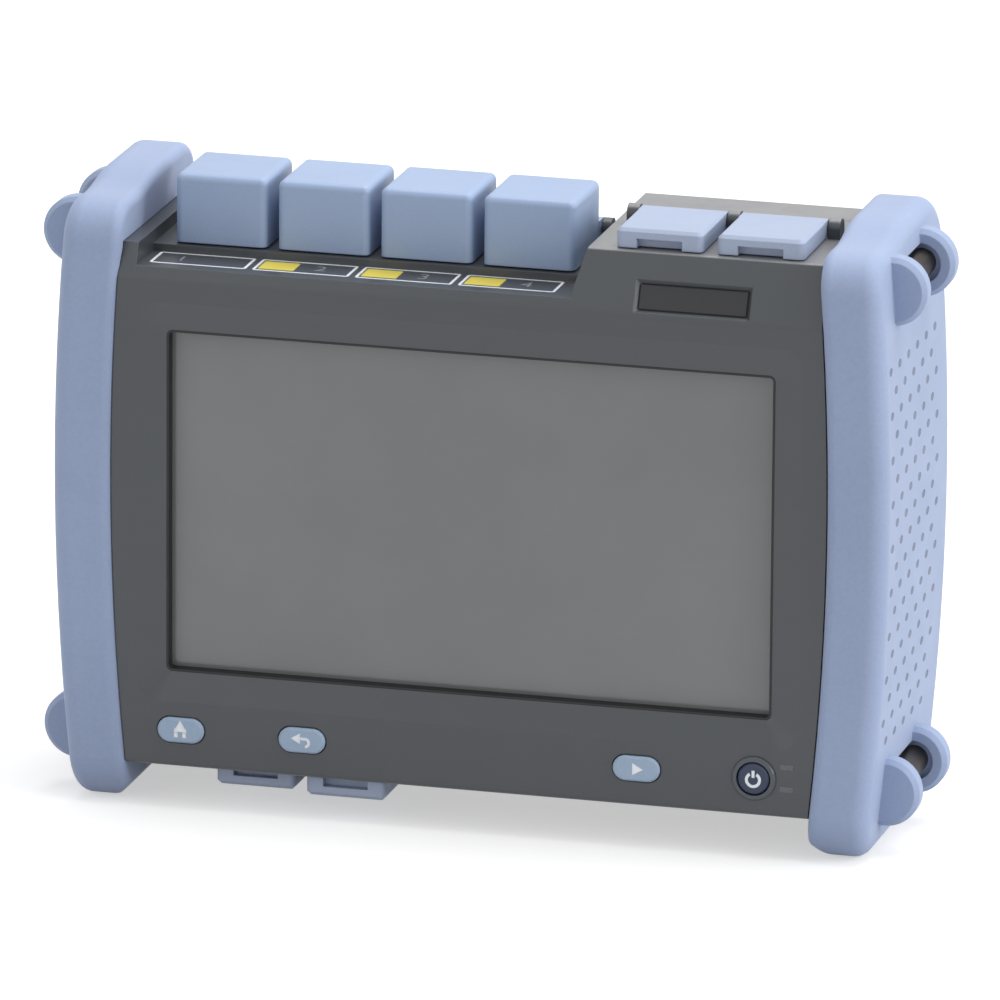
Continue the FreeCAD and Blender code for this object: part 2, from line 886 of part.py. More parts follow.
def hollow_front(body):
    """The room behind the face, with a second room under the platform."""
    inner = d.housing_half - d.shell_wall
    low = d.housing_bottom + d.shell_wall
    high = d.ledge_top - d.ledge_drop - d.shell_wall
    sketch = new_sketch(body, "XZ", FACE_INSIDE)
    draw_rectangle(sketch, -inner, inner, low, high)
    pocket(body, sketch, d.front_depth - d.face_wall)
    sketch = new_sketch(body, "XZ", FRONT + d.platform_wall)
    draw_rectangle(sketch, d.ledge_end + d.ledge_lean + d.shell_wall, inner,
                   high - d.shell_wall, d.platform_top - d.shell_wall)
    pocket(body, sketch, d.front_depth - d.platform_wall)


def add_front_posts(body):
    """Posts for the chassis, the key board and the housing screws, with their screw holes."""
    add_posts(body, "XZ", FACE_INSIDE, chassis_places(), d.boss_radius,
              CHASSIS_FRONT - FACE_INSIDE)
    add_posts(body, "XZ", FACE_INSIDE, [(x, d.key_height) for x in KEY_BOSSES], d.boss_radius,
              KEY_BOARD_FRONT - FACE_INSIDE)
    add_posts(body, "XZ", FACE_INSIDE, corner_places(), d.corner_boss,
              d.front_depth - d.face_wall)
    sketch = new_sketch(body, "XZ", CHASSIS_FRONT)
    for x, z in chassis_places():
        draw_circle(sketch, x, z, d.screw_radius)
    pocket(body, sketch, d.screw_length, forward=False)
    sketch = new_sketch(body, "XZ", KEY_BOARD_FRONT)
    for x in KEY_BOSSES:
        draw_circle(sketch, x, d.key_height, d.screw_radius)
    pocket(body, sketch, d.screw_length, forward=False)
    sketch = new_sketch(body, "XZ", SPLIT)
    for x, z in corner_places():
        draw_circle(sketch, x, z, d.corner_screw_radius)
    pocket(body, sketch, d.corner_screw_length, forward=False)


def cut_key_holes(body):
    """Openings for the keys, the power key's collar and the two status lights."""
    for name, x in KEYS.items():
        sketch = new_sketch(body, "XZ", FRONT)
        if name == "power_key":
            draw_circle(sketch, x, d.key_height, d.power_radius + d.key_gap)
        else:
            draw_capsule(sketch, x, d.key_height, d.key_width + d.key_gap * 2,
                         d.key_tall + d.key_gap * 2)
        pocket(body, sketch, d.face_wall)
    add_hole(body, "XZ", FRONT, d.power_x, d.key_height, d.collar_radius, d.collar_seat)
    sketch = new_sketch(body, "XZ", FRONT)
    for side in SIDES:
        z = d.led_z + d.led_spacing / 2 * side
        draw_rectangle(sketch, d.led_x - d.led_width / 2, d.led_x + d.led_width / 2,
                       z - d.led_tall / 2, z + d.led_tall / 2)
    pocket(body, sketch, d.face_wall)


def cut_badge(body):
    """The bevelled recess for the badge."""
    outlines = []
    for depth, inset in ((ZERO, ZERO), (d.badge_depth, d.badge_slope)):
        sketch = bevel_sketch(body, depth)
        draw_badge(sketch, inset)
        outlines.append(sketch)
    loft_cut(body, outlines)


def add_cap_ledge(body):
    """The lower strip before the caps, holes for the optical ports and the ears that hold
    the caps' hinge rod."""
    sketch = new_sketch(body, "XY", d.ledge_top)
    draw_rectangle(sketch, -d.cheek_inside, d.ledge_end, FRONT - d.edge_round,
                   FRONT + d.ledge_strip)
    pocket(body, sketch, d.ledge_drop, forward=False)
    sketch = new_sketch(body, "XY", d.ledge_top)
    for number in range(CAP_COUNT):
        draw_circle(sketch, cap_x(number), FRONT + d.cap_front + d.port_back,
                    d.adapter_barrel if number else d.meter_barrel)
    pocket(body, sketch, d.ledge_drop + d.shell_wall, forward=False)
    ear = add_hinge_ear(body, FIRST_EAR, EAR_THICK, CAP_AXIS_Y, CAP_AXIS_Z, d.ear_radius,
                        d.ledge_top)
    repeat_along_x(body, ear, d.cap_pitch, CAP_COUNT + 1)
    add_hole(body, "YZ", FIRST_EAR, CAP_AXIS_Y, CAP_AXIS_Z, d.rod_radius,
             d.cap_pitch * CAP_COUNT + EAR_THICK)


def add_socket_places(body):
    """For each hinged cover: the socket's opening, two hinge ears and the hole for the pin."""
    for x, front, width, side in COVERS.values():
        surface = cover_surface(side)
        y, z = cover_axis(front, side)
        sketch = new_sketch(body, "XY", surface)
        half_width = d.socket_width / 2 + d.socket_gap
        half_depth = d.socket_depth / 2 + d.socket_gap
        draw_rectangle(sketch, x - half_width, x + half_width,
                       socket_y(side) - half_depth, socket_y(side) + half_depth)
        pocket(body, sketch, d.shell_wall, forward=side < 0)
        reach = width / 2 + d.side_play
        for start in (x - reach - d.cover_ear, x + reach):
            add_hinge_ear(body, start, d.cover_ear, y, z, d.cover_axis_up, surface)
    for x, front, width, side in COVERS.values():
        y, z = cover_axis(front, side)
        reach = width / 2 + d.side_play + d.cover_ear / 2
        add_hole(body, "YZ", x - reach, y, z, d.cover_pin_radius, reach * 2)
    drop = d.socket_sink + d.socket_height - d.shell_wall
    for side in SIDES:
        inside = cover_surface(side) - d.shell_wall * side
        add_posts(body, "XY", inside, port_board_posts(side), d.board_post, drop,
                  forward=side < 0)
        sketch = new_sketch(body, "XY", port_board_face(side))
        for x, y in port_board_posts(side):
            draw_circle(sketch, x, y, d.screw_radius)
        pocket(body, sketch, d.screw_length, forward=side > 0)


def make_front_housing():
    """The front half of the housing."""
    body = new_body("front_housing")
    shape_front(body)
    hollow_front(body)
    cut_badge(body)
    cut_key_holes(body)
    add_front_posts(body)
    add_cap_ledge(body)
    add_socket_places(body)


def draw_stand(sketch, grow):
    """The stand's U outline, grown on all sides."""
    half = d.stand_half + grow
    inner = d.stand_half - d.stand_leg - grow
    foot = d.stand_foot - grow
    bar = d.stand_foot + d.stand_bar + grow
    top = d.stand_axis_z + d.stand_thick / 2 + grow
    outside = d.stand_round + grow
    inside = d.stand_inner_round
    draw_outline(sketch, [
        (-half, top), (-half, foot + outside, outside, 1),
        (-half + outside, foot), (half - outside, foot, outside, 1),
        (half, foot + outside), (half, top),
        (inner, top), (inner, bar + inside, inside, -1),
        (inner - inside, bar), (-inner + inside, bar, inside, -1),
        (-inner, bar + inside), (-inner, top)])


def shape_rear(body):
    """The outer form of the rear half and the room inside it."""
    sketch = new_sketch(body, "XZ", SPLIT)
    draw_housing(sketch)
    pad(body, sketch, REAR_STEP - SPLIT)
    sketch = new_sketch(body, "XZ", REAR_STEP)
    draw_face(sketch)
    pad(body, sketch, d.face_step)
    fillet(body, d.edge_round, lambda edge: runs_along(edge, "x") and (
        lies_at(edge, y=BACK, z=d.housing_bottom) or lies_at(edge, y=BACK, z=d.platform_top)
        or lies_at(edge, y=BACK, z=d.ledge_top)))
    inner = d.housing_half - d.shell_wall
    sketch = new_sketch(body, "XZ", SPLIT)
    draw_rectangle(sketch, -inner, inner, d.housing_bottom + d.shell_wall,
                   d.ledge_top - d.shell_wall)
    pocket(body, sketch, REAR_INSIDE - SPLIT)


def add_battery_bay(body):
    """A box for the battery that opens to the back, with a recess for its lid."""
    half = d.battery_width / 2 + d.bay_gap
    low = d.battery_z - d.battery_tall / 2 - d.bay_gap
    high = d.battery_z + d.battery_tall / 2 + d.bay_gap
    lid_front = BACK - d.lid_thick
    floor = lid_front - d.battery_thick - d.bay_wall
    sketch = new_sketch(body, "XZ", floor)
    draw_rectangle(sketch, -half - d.bay_wall, half + d.bay_wall, low - d.bay_wall,
                   high + d.bay_wall)
    pad(body, sketch, REAR_INSIDE + d.edge_round - floor)
    sketch = new_sketch(body, "XZ", BACK)
    draw_rectangle(sketch, -half, half, low, high)
    pocket(body, sketch, BACK - floor - d.bay_wall, forward=False)
    sketch = new_sketch(body, "XZ", BACK)
    draw_rounded(sketch, -LID_HALF, LID_HALF, LID_LOW, LID_HIGH, d.lid_margin)
    pocket(body, sketch, d.lid_thick, forward=False)
    places = [(d.lid_screw_x * side, LID_SCREW_Z) for side in SIDES]
    add_posts(body, "XZ", REAR_INSIDE + d.edge_round, places, d.boss_radius, d.screw_length,
              forward=False)
    sketch = new_sketch(body, "XZ", lid_front)
    for x, z in places:
        draw_circle(sketch, x, z, d.screw_radius)
    pocket(body, sketch, d.screw_length, forward=False)


def add_stand_seat(body):
    """The groove that the stand folds into, its hinge lugs and a scoop for a finger."""
    sketch = new_sketch(body, "XZ", BACK)
    draw_stand(sketch, d.stand_gap)
    pocket(body, sketch, d.stand_sink, forward=False)
    sketch = new_sketch(body, "XZ", BACK)
    draw_rounded(sketch, -d.scoop_half, d.scoop_half, d.stand_foot - d.scoop_tall,
                 d.stand_foot, d.stand_inner_round)
    pocket(body, sketch, d.stand_sink, forward=False)
    outer = d.stand_half + d.stand_gap
    inner = d.stand_half - d.stand_leg - d.stand_gap
    starts = (outer, inner - d.stand_lug, -inner, -outer - d.stand_lug)
    for start in starts:
        sketch = new_sketch(body, "YZ", start)
        draw_circle(sketch, STAND_AXIS_Y, d.stand_axis_z, d.stand_lug_radius)
        pad(body, sketch, d.stand_lug)
    for start in (inner - d.stand_lug, -outer - d.stand_lug):
        add_hole(body, "YZ", start, STAND_AXIS_Y, d.stand_axis_z, d.stand_pin_radius,
                 outer - inner + d.stand_lug * 2)


def make_rear_housing():
    """The rear half of the housing."""
    body = new_body("rear_housing")
    shape_rear(body)
    add_battery_bay(body)
    add_stand_seat(body)
    sketch = new_sketch(body, "XZ", BACK)
    first = -d.vent_pitch * (d.vent_count - 1) / 2
    draw_rectangle(sketch, first - d.vent_width / 2, first + d.vent_width / 2,
                   d.vent_z - d.vent_tall / 2, d.vent_z + d.vent_tall / 2)
    slot = pocket(body, sketch, d.rear_wall, forward=False)
    repeat_along_x(body, slot, d.vent_pitch, d.vent_count)
    add_posts(body, "XZ", SPLIT, corner_places(), d.corner_boss, REAR_INSIDE - SPLIT)
    sketch = new_sketch(body, "XZ", SPLIT)
    for x, z in corner_places():
        draw_circle(sketch, x, z, d.corner_screw_radius + d.pin_slack)
    pocket(body, sketch, BACK - SPLIT)
    sketch = new_sketch(body, "XZ", BACK)
    for x, z in corner_places():
        draw_circle(sketch, x, z, d.corner_head + d.pin_slack)
    pocket(body, sketch, d.corner_head_thick, forward=False)


# ---------------------------------------------------------------- rubber guards


def draw_guard_front(sketch, side):
    """The guard seen from the front: a bowed bar with its inner lower corner cut off."""
    inner = d.guard_inside
    outer = d.guard_inside + d.guard_width
    turn = 1 if side > 0 else -1
    low, corner, high = bow(ZERO), bow(d.bottom_bevel), bow(d.hump_top)
    draw_outline(sketch, [
        ((inner + d.bottom_bevel - low) * side, ZERO),
        ((outer - low) * side, ZERO, d.side_radius, turn),
        ((outer - high) * side, d.hump_top),
        ((inner - high) * side, d.hump_top, d.side_radius, -turn),
        ((inner - corner) * side, d.bottom_bevel)])


def draw_guard_side(sketch):
    """The guard seen from the side: rounded ends, and a hump over the rear lug."""
    front = -d.guard_depth / 2
    back = d.guard_depth / 2
    low = d.bottom_round
    rise = d.hump_top - d.guard_top
    swing = (d.hump_run * d.hump_run + rise * rise) / (rise * 4)
    start = FRONT + d.hump_start
    draw_outline(sketch, [
        (front + low, ZERO), (back - low, ZERO, low, 1),
        (back, low), (back, d.hump_top - d.rear_top_round, d.rear_top_round, 1),
        (back - d.rear_top_round, d.hump_top), (start + d.hump_run, d.hump_top, swing, 1),
        (start + d.hump_run / 2, d.guard_top + rise / 2, swing, -1),
        (start, d.guard_top), (front + d.front_round, d.guard_top, d.front_round, 1),
        (front, d.guard_top - d.front_round), (front, low, low, 1)])


def add_strap_lugs(body, side):
    """Two pairs of half-round ears, with a channel for the strap and seats for its pin."""
    front = FRONT + d.lug_front
    for z in (d.lug_low, d.lug_top):
        for start in (front, front + d.lug_pitch):
            sketch = new_sketch(body, "XZ", start)
            draw_circle(sketch, d.lug_out * side, z, d.lug_radius)
            pad(body, sketch, d.lug_thick)
    reach = d.lug_out + d.lug_radius
    chamfer(body, d.lug_bevel, lambda edge: edge.BoundBox.YLength < 1e-3 and near(
        max(abs(edge.BoundBox.XMin), abs(edge.BoundBox.XMax)), reach))
    for z in (d.lug_low, d.lug_top):
        add_hole(body, "XZ", front + d.lug_thick, d.lug_out * side, z, d.channel_radius,
                 d.lug_pitch - d.lug_thick + d.channel_sink)
        add_hole(body, "XZ", front + d.lug_thick - d.strap_pin_seat, d.lug_out * side, z,
                 d.strap_pin_radius + d.pin_slack,
                 d.lug_pitch - d.lug_thick + d.strap_pin_seat * 2)


def make_guard(name, side):
    """A rubber guard that wraps one end of the housing."""
    body = new_body(name)
    sketch = new_sketch(body, "XZ", -d.guard_depth / 2)
    draw_guard_front(sketch, side)
    pad(body, sketch, d.guard_depth)
    reach = d.guard_width * 3
    level = (d.guard_inside - d.guard_width) * side
    sketch = new_sketch(body, "YZ", level)
    margin = d.guard_width
    draw_rectangle(sketch, -d.guard_depth / 2 - margin, d.guard_depth / 2 + margin,
                   -margin, d.hump_top + margin)
    draw_guard_side(sketch)
    pocket(body, sketch, reach, forward=side > 0)
    middle = (d.guard_inside + d.guard_width / 2 - bow(ZERO)).value
    fillet(body, d.guard_edge, lambda edge: min(
        abs(edge.BoundBox.XMin), abs(edge.BoundBox.XMax)) > middle)
    fillet(body, d.guard_lip_edge, lambda edge: max(
        abs(edge.BoundBox.XMin), abs(edge.BoundBox.XMax)) < middle)
    add_strap_lugs(body, side)
    sketch = new_sketch(body, "YZ", level)
    top = d.platform_top if side > 0 else d.cheek_top
    gap = d.rubber_gap
    draw_rectangle(sketch, STEP_PLANE - gap, REAR_STEP + gap, d.housing_bottom - gap, top + gap)
    pocket(body, sketch, d.housing_half + gap - d.guard_inside + d.guard_width,
           forward=side > 0)


def make_strap_pins():
    """The four pins that a strap hooks on to."""
    pins = []
    start = FRONT + d.lug_front + d.lug_thick - d.strap_pin_seat
    length = d.lug_pitch - d.lug_thick + d.strap_pin_seat * 2
    for side in SIDES:
        for z in (d.lug_low, d.lug_top):
            pins.append(rod("strap_pin", "y", d.lug_out * side, start, z, d.strap_pin_radius,
                            length, is_node=False))
    group("strap_pins", pins)


# ---------------------------------------------------------------- display


def display_range(grow):
    """The window's range in X and in Z, grown on all sides."""
    half_width = d.window_width / 2 + grow
    half_height = d.window_height / 2 + grow
    return (-half_width, half_width), (d.display_z - half_height, d.display_z + half_height)


def make_gasket():
    """The black rubber frame that lines the window and cushions the glass."""
    body = new_body("display_gasket")
    sketch = new_sketch(body, "XZ", FRONT + d.dish_depth)
    draw_window(sketch, ZERO, d.window_round)
    pad(body, sketch, FACE_INSIDE - FRONT - d.dish_depth)
    sketch = new_sketch(body, "XZ", FACE_INSIDE)
    draw_window(sketch, d.gasket_flange, d.gasket_flange)
    pad(body, sketch, d.gasket_thick)
    sketch = new_sketch(body, "XZ", FRONT + d.dish_depth)
    draw_window(sketch, -d.gasket_wall, d.window_round - d.gasket_wall)
    pocket(body, sketch, GLASS_FRONT - FRONT - d.dish_depth)


def make_display():
    """The touch glass and the display panel behind it."""
    body = new_body("touch_glass")
    sketch = new_sketch(body, "XZ", GLASS_FRONT)
    draw_window(sketch, d.glass_margin, d.glass_margin / 2)
    pad(body, sketch, d.glass_thick)
    x_range, z_range = display_range(d.panel_margin)
    block("display_panel", x_range, (PANEL_FRONT, CHASSIS_FRONT), z_range)


# ---------------------------------------------------------------- dust caps and optical ports


def make_dust_cap(number):
    """A hollow cap with a hinge knuckle. Its own origin is on the hinge's axis."""
    body = new_body(f"dust_cap_{number + 1}")
    half = d.cap_width / 2
    back = -d.cap_axis_back
    front = back - d.cap_depth
    low = d.cap_lift - d.cap_axis_up
    sketch = new_sketch(body, "XY", low)
    draw_rounded(sketch, -half, half, front, back, d.cap_round)
    pad(body, sketch, d.cap_height)
    top = low + d.cap_height
    fillet(body, d.cap_round, lambda edge: lies_at(edge, z=top))
    sketch = new_sketch(body, "XY", low)
    wall = d.cap_wall
    draw_rectangle(sketch, -half + wall, half - wall, front + wall, back - wall)
    pocket(body, sketch, d.cap_height - wall)
    sketch = new_sketch(body, "YZ", -half)
    knuckle = d.cap_knuckle
    draw_outline(sketch, [
        (back - wall / 2, -knuckle), (ZERO, -knuckle, knuckle, 1),
        (ZERO, knuckle), (back - wall / 2, knuckle)])
    pad(body, sketch, d.cap_width)
    add_hole(body, "YZ", -half, ZERO, ZERO, d.rod_radius + d.pin_slack, d.cap_width)
    place(body, cap_x(number), CAP_AXIS_Y, CAP_AXIS_Z)


def turned_body(name, corners):
    """A body turned about Z from its half outline in X and Z."""
    body = new_body(name)
    sketch = new_sketch(body, "XZ")
    draw_outline(sketch, corners)
    turned = body.newObject("PartDesign::Revolution", "Turned")
    turned.Profile = sketch
    turned.ReferenceAxis = (origin_feature(body, "Z_Axis"), [""])
    turned.Angle = 360
    doc.recompute()
    return body


def make_fibre_adapter(number):
    """A bulkhead adapter: keyed outer barrel, flange on the ledge and an inner sleeve."""
    rise = d.adapter_rise
    floor = rise - d.adapter_depth
    body = turned_body(f"fibre_adapter_{number}", [
        (d.ferrule_bore, -d.adapter_drop), (d.adapter_barrel, -d.adapter_drop),
        (d.adapter_barrel, ZERO), (d.adapter_flange, ZERO),
        (d.adapter_flange, d.flange_thick), (d.adapter_barrel, d.flange_thick),
        (d.adapter_barrel, rise), (d.adapter_bore, rise),
        (d.adapter_bore, floor), (d.sleeve_radius, floor),
        (d.sleeve_radius, rise - d.sleeve_sink), (d.ferrule_bore, rise - d.sleeve_sink)])
    sketch = new_sketch(body, "XY", rise)
    draw_rectangle(sketch, -d.key_slot / 2, d.key_slot / 2, -d.adapter_barrel - d.key_gap,
                   -d.sleeve_radius - d.key_gap)
    pocket(body, sketch, d.key_slot_depth, forward=False)
    place(body, cap_x(number), FRONT + d.cap_front + d.port_back, d.ledge_top)


def make_meter_port():
    """The wide port of the optical power meter."""
    rise = d.adapter_rise - d.flange_thick
    body = turned_body("power_meter_port", [
        (ZERO, -d.meter_drop), (d.meter_barrel, -d.meter_drop),
        (d.meter_barrel, ZERO), (d.meter_flange, ZERO),
        (d.meter_flange, d.flange_thick), (d.meter_barrel, d.flange_thick),
        (d.meter_barrel, rise), (d.meter_bore, rise),
        (d.meter_bore, rise - d.meter_depth), (ZERO, rise - d.meter_depth)])
    place(body, cap_x(0), FRONT + d.cap_front + d.port_back, d.ledge_top)


# ---------------------------------------------------------------- hinged covers and sockets


def make_cover(name):
    """A flat cover with a finger notch, a sealing lip and a knuckle along its back edge. Its
    own origin is on the hinge's axis."""
    x, front_from_face, width, side = COVERS[name]
    body = new_body(name)
    half = width / 2
    back = -d.cover_axis_back
    front = back - d.cover_depth
    low = (d.cover_lift - d.cover_axis_up) * side
    up = side > 0
    sketch = new_sketch(body, "XY", low)
    draw_rounded(sketch, -half, half, front, back, d.cover_round)
    pad(body, sketch, d.cover_thick, forward=up)
    high = low + d.cover_thick * side
    chamfer(body, d.cover_bevel, lambda edge: lies_at(edge, z=high))
    sketch = new_sketch(body, "XY", low)
    draw_rectangle(sketch, -d.notch_width / 2, d.notch_width / 2, front - d.edge_round,
                   front + d.notch_depth)
    pocket(body, sketch, d.notch_height, forward=up)
    sketch = new_sketch(body, "YZ", -half)
    knuckle = d.cover_knuckle
    draw_outline(sketch, [
        (back - d.edge_round, -knuckle), (ZERO, -knuckle, knuckle, 1),
        (ZERO, knuckle), (back - d.edge_round, knuckle)])
    pad(body, sketch, width)
    middle = socket_y(side) - cover_axis(front_from_face, side)[0]
    lip_half = d.socket_width / 2 - d.seal_gap
    lip_deep = d.socket_depth / 2 - d.seal_gap
    sketch = new_sketch(body, "XY", low)
    draw_rectangle(sketch, -lip_half, lip_half, middle - lip_deep, middle + lip_deep)
    draw_rectangle(sketch, -lip_half + d.seal_wall, lip_half - d.seal_wall,
                   middle - lip_deep + d.seal_wall, middle + lip_deep - d.seal_wall)
    pad(body, sketch, d.seal_depth, forward=not up)
    add_hole(body, "YZ", -half, ZERO, ZERO, d.cover_pin_radius + d.pin_slack, width)
    y, z = cover_axis(front_from_face, side)
    place(body, x, y, z)


def make_cover_pins():
    """One hinge pin for each cover."""
    pins = []
    for name, (x, front, width, side) in COVERS.items():
        y, z = cover_axis(front, side)
        reach = width / 2 + d.side_play + d.cover_ear / 2
        pins.append(rod("cover_pin", "x", x - reach, y, z, d.cover_pin_radius, reach * 2,
                        is_node=False))
    group("cover_pins", pins)


def socket_block(name, cover):
    """A socket's block. Its own origin is in the middle of its mouth."""
    x, front, width, side = COVERS[cover]
    body = new_body(name)
    sketch = new_sketch(body, "XY")
    draw_rectangle(sketch, -d.socket_width / 2, d.socket_width / 2, -d.socket_depth / 2,
                   d.socket_depth / 2)
    pad(body, sketch, d.socket_height, forward=side < 0)
    place(body, x, socket_y(side), cover_surface(side) - d.socket_sink * side)
    return body, side


def make_network_socket():
    """A jack for a network plug, with the slot for the plug's latch."""
    body, side = socket_block("network_socket", "top_cover_left")
    sketch = new_sketch(body, "XY")
    half = d.jack_width / 2
    deep = d.jack_depth / 2
    draw_outline(sketch, [
        (-half, -deep), (half, -deep), (half, deep), (d.jack_latch / 2, deep),
        (d.jack_latch / 2, deep + d.jack_latch_depth),
        (-d.jack_latch / 2, deep + d.jack_latch_depth), (-d.jack_latch / 2, deep), (-half, deep)])
    pocket(body, sketch, d.socket_height - d.socket_wall, forward=side < 0)


def make_tongue_socket(name, cover, width, tall, tongue_width, tongue_tall, radius):
    """A socket with a tongue in the middle of its opening."""
    body, side = socket_block(name, cover)
    sketch = new_sketch(body, "XY")
    draw_rounded(sketch, -width / 2, width / 2, -tall / 2, tall / 2, radius)
    draw_rectangle(sketch, -tongue_width / 2, tongue_width / 2, -tongue_tall / 2,
                   tongue_tall / 2)
    pocket(body, sketch, d.socket_height - d.socket_wall, forward=side < 0)


def make_power_socket():
    """A round charging jack with a centre pin."""
    body, side = socket_block("power_socket", "low_cover_left")
    sketch = new_sketch(body, "XY")
    draw_circle(sketch, ZERO, ZERO, d.barrel_radius)
    draw_circle(sketch, ZERO, ZERO, d.barrel_pin_radius)
    pocket(body, sketch, d.socket_height - d.socket_wall, forward=side < 0)


def make_port_board(name, side, first, last):
    """The small board that carries a pair of sockets."""
    left = COVERS[first][0] - d.socket_width / 2 - d.port_board_margin
    right = COVERS[last][0] + d.socket_width / 2 + d.port_board_margin
    deep = d.socket_depth / 2 + d.port_board_margin
    low_face = port_board_face(side)
    if side > 0:
        low_face = low_face - d.board_thick
    make_board(name, "XY", low_face, (left, right, socket_y(side) - deep, socket_y(side) + deep),
               port_board_posts(side))


# ---------------------------------------------------------------- keys


def make_key(name):
    """A key cap with a flange behind the face and a stem. Its own origin is on the face."""
    body = new_body(name)
    is_round = name == "power_key"

    def outline(level, grow):
        sketch = new_sketch(body, "XZ", level)
        if is_round:
            draw_circle(sketch, ZERO, ZERO, d.power_radius + grow)
        else:
            draw_capsule(sketch, ZERO, ZERO, d.key_width + grow * 2, d.key_tall + grow * 2)
        return sketch

    flange = d.face_wall + d.key_gap
    pad(body, outline(-d.key_rise, ZERO), d.key_rise + flange)
    chamfer(body, d.key_bevel, lambda edge: lies_at(edge, y=-d.key_rise))
    pad(body, outline(flange, d.key_flange), d.key_flange_thick)
    add_posts(body, "XZ", flange + d.key_flange_thick, [(ZERO, ZERO)], d.key_stem,
              d.key_stem_length)
    place(body, KEYS[name], FRONT, d.key_height)


def make_collar():
    """The ring around the power key."""
    body = new_body("power_collar")
    sketch = new_sketch(body, "XZ", FRONT - d.collar_rise)
    draw_circle(sketch, d.power_x, d.key_height, d.collar_radius)
    draw_circle(sketch, d.power_x, d.key_height, d.power_radius + d.key_gap)
    pad(body, sketch, d.collar_rise + d.collar_seat)
    chamfer(body, d.collar_bevel, lambda edge: lies_at(edge, y=FRONT - d.collar_rise)
            and near(edge.BoundBox.XLength, d.collar_radius * 2))


def make_key_board():
    """The strip behind the keys, with one switch for each key and the two light guides."""
    half = d.key_board_tall / 2
    make_board("key_board", "XZ", KEY_BOARD_FRONT, (
        d.home_x - d.key_board_end, d.led_x + d.led_width, d.key_height - half,
        d.key_height + half), [(x, d.key_height) for x in KEY_BOSSES])
    switches = []
    for x in KEYS.values():
        switches.append(block(
            "key_switch", (x - d.switch_width / 2, x + d.switch_width / 2),
            (SWITCH_FRONT, KEY_BOARD_FRONT),
            (d.key_height - d.switch_width / 2, d.key_height + d.switch_width / 2),
            is_node=False))
    group("key_switches", switches)
    guides = []
    for side in SIDES:
        z = d.led_z + d.led_spacing / 2 * side
        guides.append(block(
            "light_guide", (d.led_x - d.led_width / 2, d.led_x + d.led_width / 2),
            (FRONT, KEY_BOARD_FRONT), (z - d.led_tall / 2, z + d.led_tall / 2),
            is_node=False))
    group("light_guides", guides)


def make_badge():
    """The bare plate on the floor of the badge recess."""
    body = new_body("badge_plate")
    sketch = bevel_sketch(body, d.badge_depth)
    draw_badge(sketch, d.badge_slope + d.rubber_gap)
    feature = body.newObject("PartDesign::Pad", "Pad")
    feature.Profile = sketch
    feature.setExpression("Length", d.badge_plate.text)
    doc.recompute()


# ---------------------------------------------------------------- inner pieces


def make_board(name, plane, level, edges, holes):
    """A circuit board that lies on a plane, with its screw holes."""
    body = new_body(name)
    sketch = new_sketch(body, plane, level)
    draw_rectangle(sketch, *edges)
    for x, y in holes:
        draw_circle(sketch, x, y, d.screw_radius)
    pad(body, sketch, d.board_thick)


def small_screw(x, y, z, axis="y", points_up=False):
    """One of the small screws that hold the chassis, the boards and the lid."""
    return screw("small_screw", axis, (x, y, z), points_up, d.screw_radius, d.screw_length,
                 d.screw_head, d.screw_head_thick)


def standoff_places():
    """The corners of the main board that stand on the chassis, in X and Z."""
    across = d.main_board_width / 2 - d.board_corner
    rise = d.main_board_tall / 2 - d.board_corner
    return [(across * side, d.display_z + rise * up) for side in SIDES for up in SIDES]


def make_inner_pieces():
    """Chassis, main board, measuring module and their fasteners."""
    body = new_body("chassis_plate")
    sketch = new_sketch(body, "XZ", CHASSIS_FRONT)
    draw_rounded(sketch, -d.chassis_half, d.chassis_half, d.display_z - d.chassis_rise,
                 d.display_z + d.chassis_rise, d.boss_radius)
    pad(body, sketch, d.chassis_thick)
    sketch = new_sketch(body, "XZ", CHASSIS_FRONT)
    for x, z in chassis_places():
        draw_circle(sketch, x, z, d.screw_radius)
    pocket(body, sketch, d.chassis_thick)
    group("board_standoffs", [
        tube("standoff", "y", x, CHASSIS_BACK, z, d.standoff_radius, d.screw_radius,
             d.standoff_length) for x, z in standoff_places()])
    half = d.main_board_width / 2
    make_board("main_board", "XZ", BOARD_FRONT, (
        -half, half, d.display_z - d.main_board_tall / 2, d.display_z + d.main_board_tall / 2),
        standoff_places())
    body = new_body("measuring_module")
    sketch = new_sketch(body, "XZ", BOARD_BACK)
    half = d.module_width / 2
    draw_rounded(sketch, -half, half, d.display_z - d.module_tall / 2,
                 d.display_z + d.module_tall / 2, d.module_round)
    pad(body, sketch, d.module_thick)
    fillet(body, d.edge_round, lambda edge: lies_at(edge, y=BOARD_BACK + d.module_thick))
    group("chassis_screws", [small_screw(x, CHASSIS_BACK, z) for x, z in chassis_places()])


def make_board_screws():
    """The screws of the main board, of the key board and of the two port boards."""
    screws = [small_screw(x, BOARD_BACK, z) for x, z in standoff_places()]
    screws += [small_screw(x, KEY_BOARD_FRONT + d.board_thick, d.key_height) for x in KEY_BOSSES]
    for side in SIDES:
        z = port_board_face(side) - d.board_thick * side
        screws += [small_screw(x, y, z, "z", side > 0) for x, y in port_board_posts(side)]
    group("board_screws", screws)


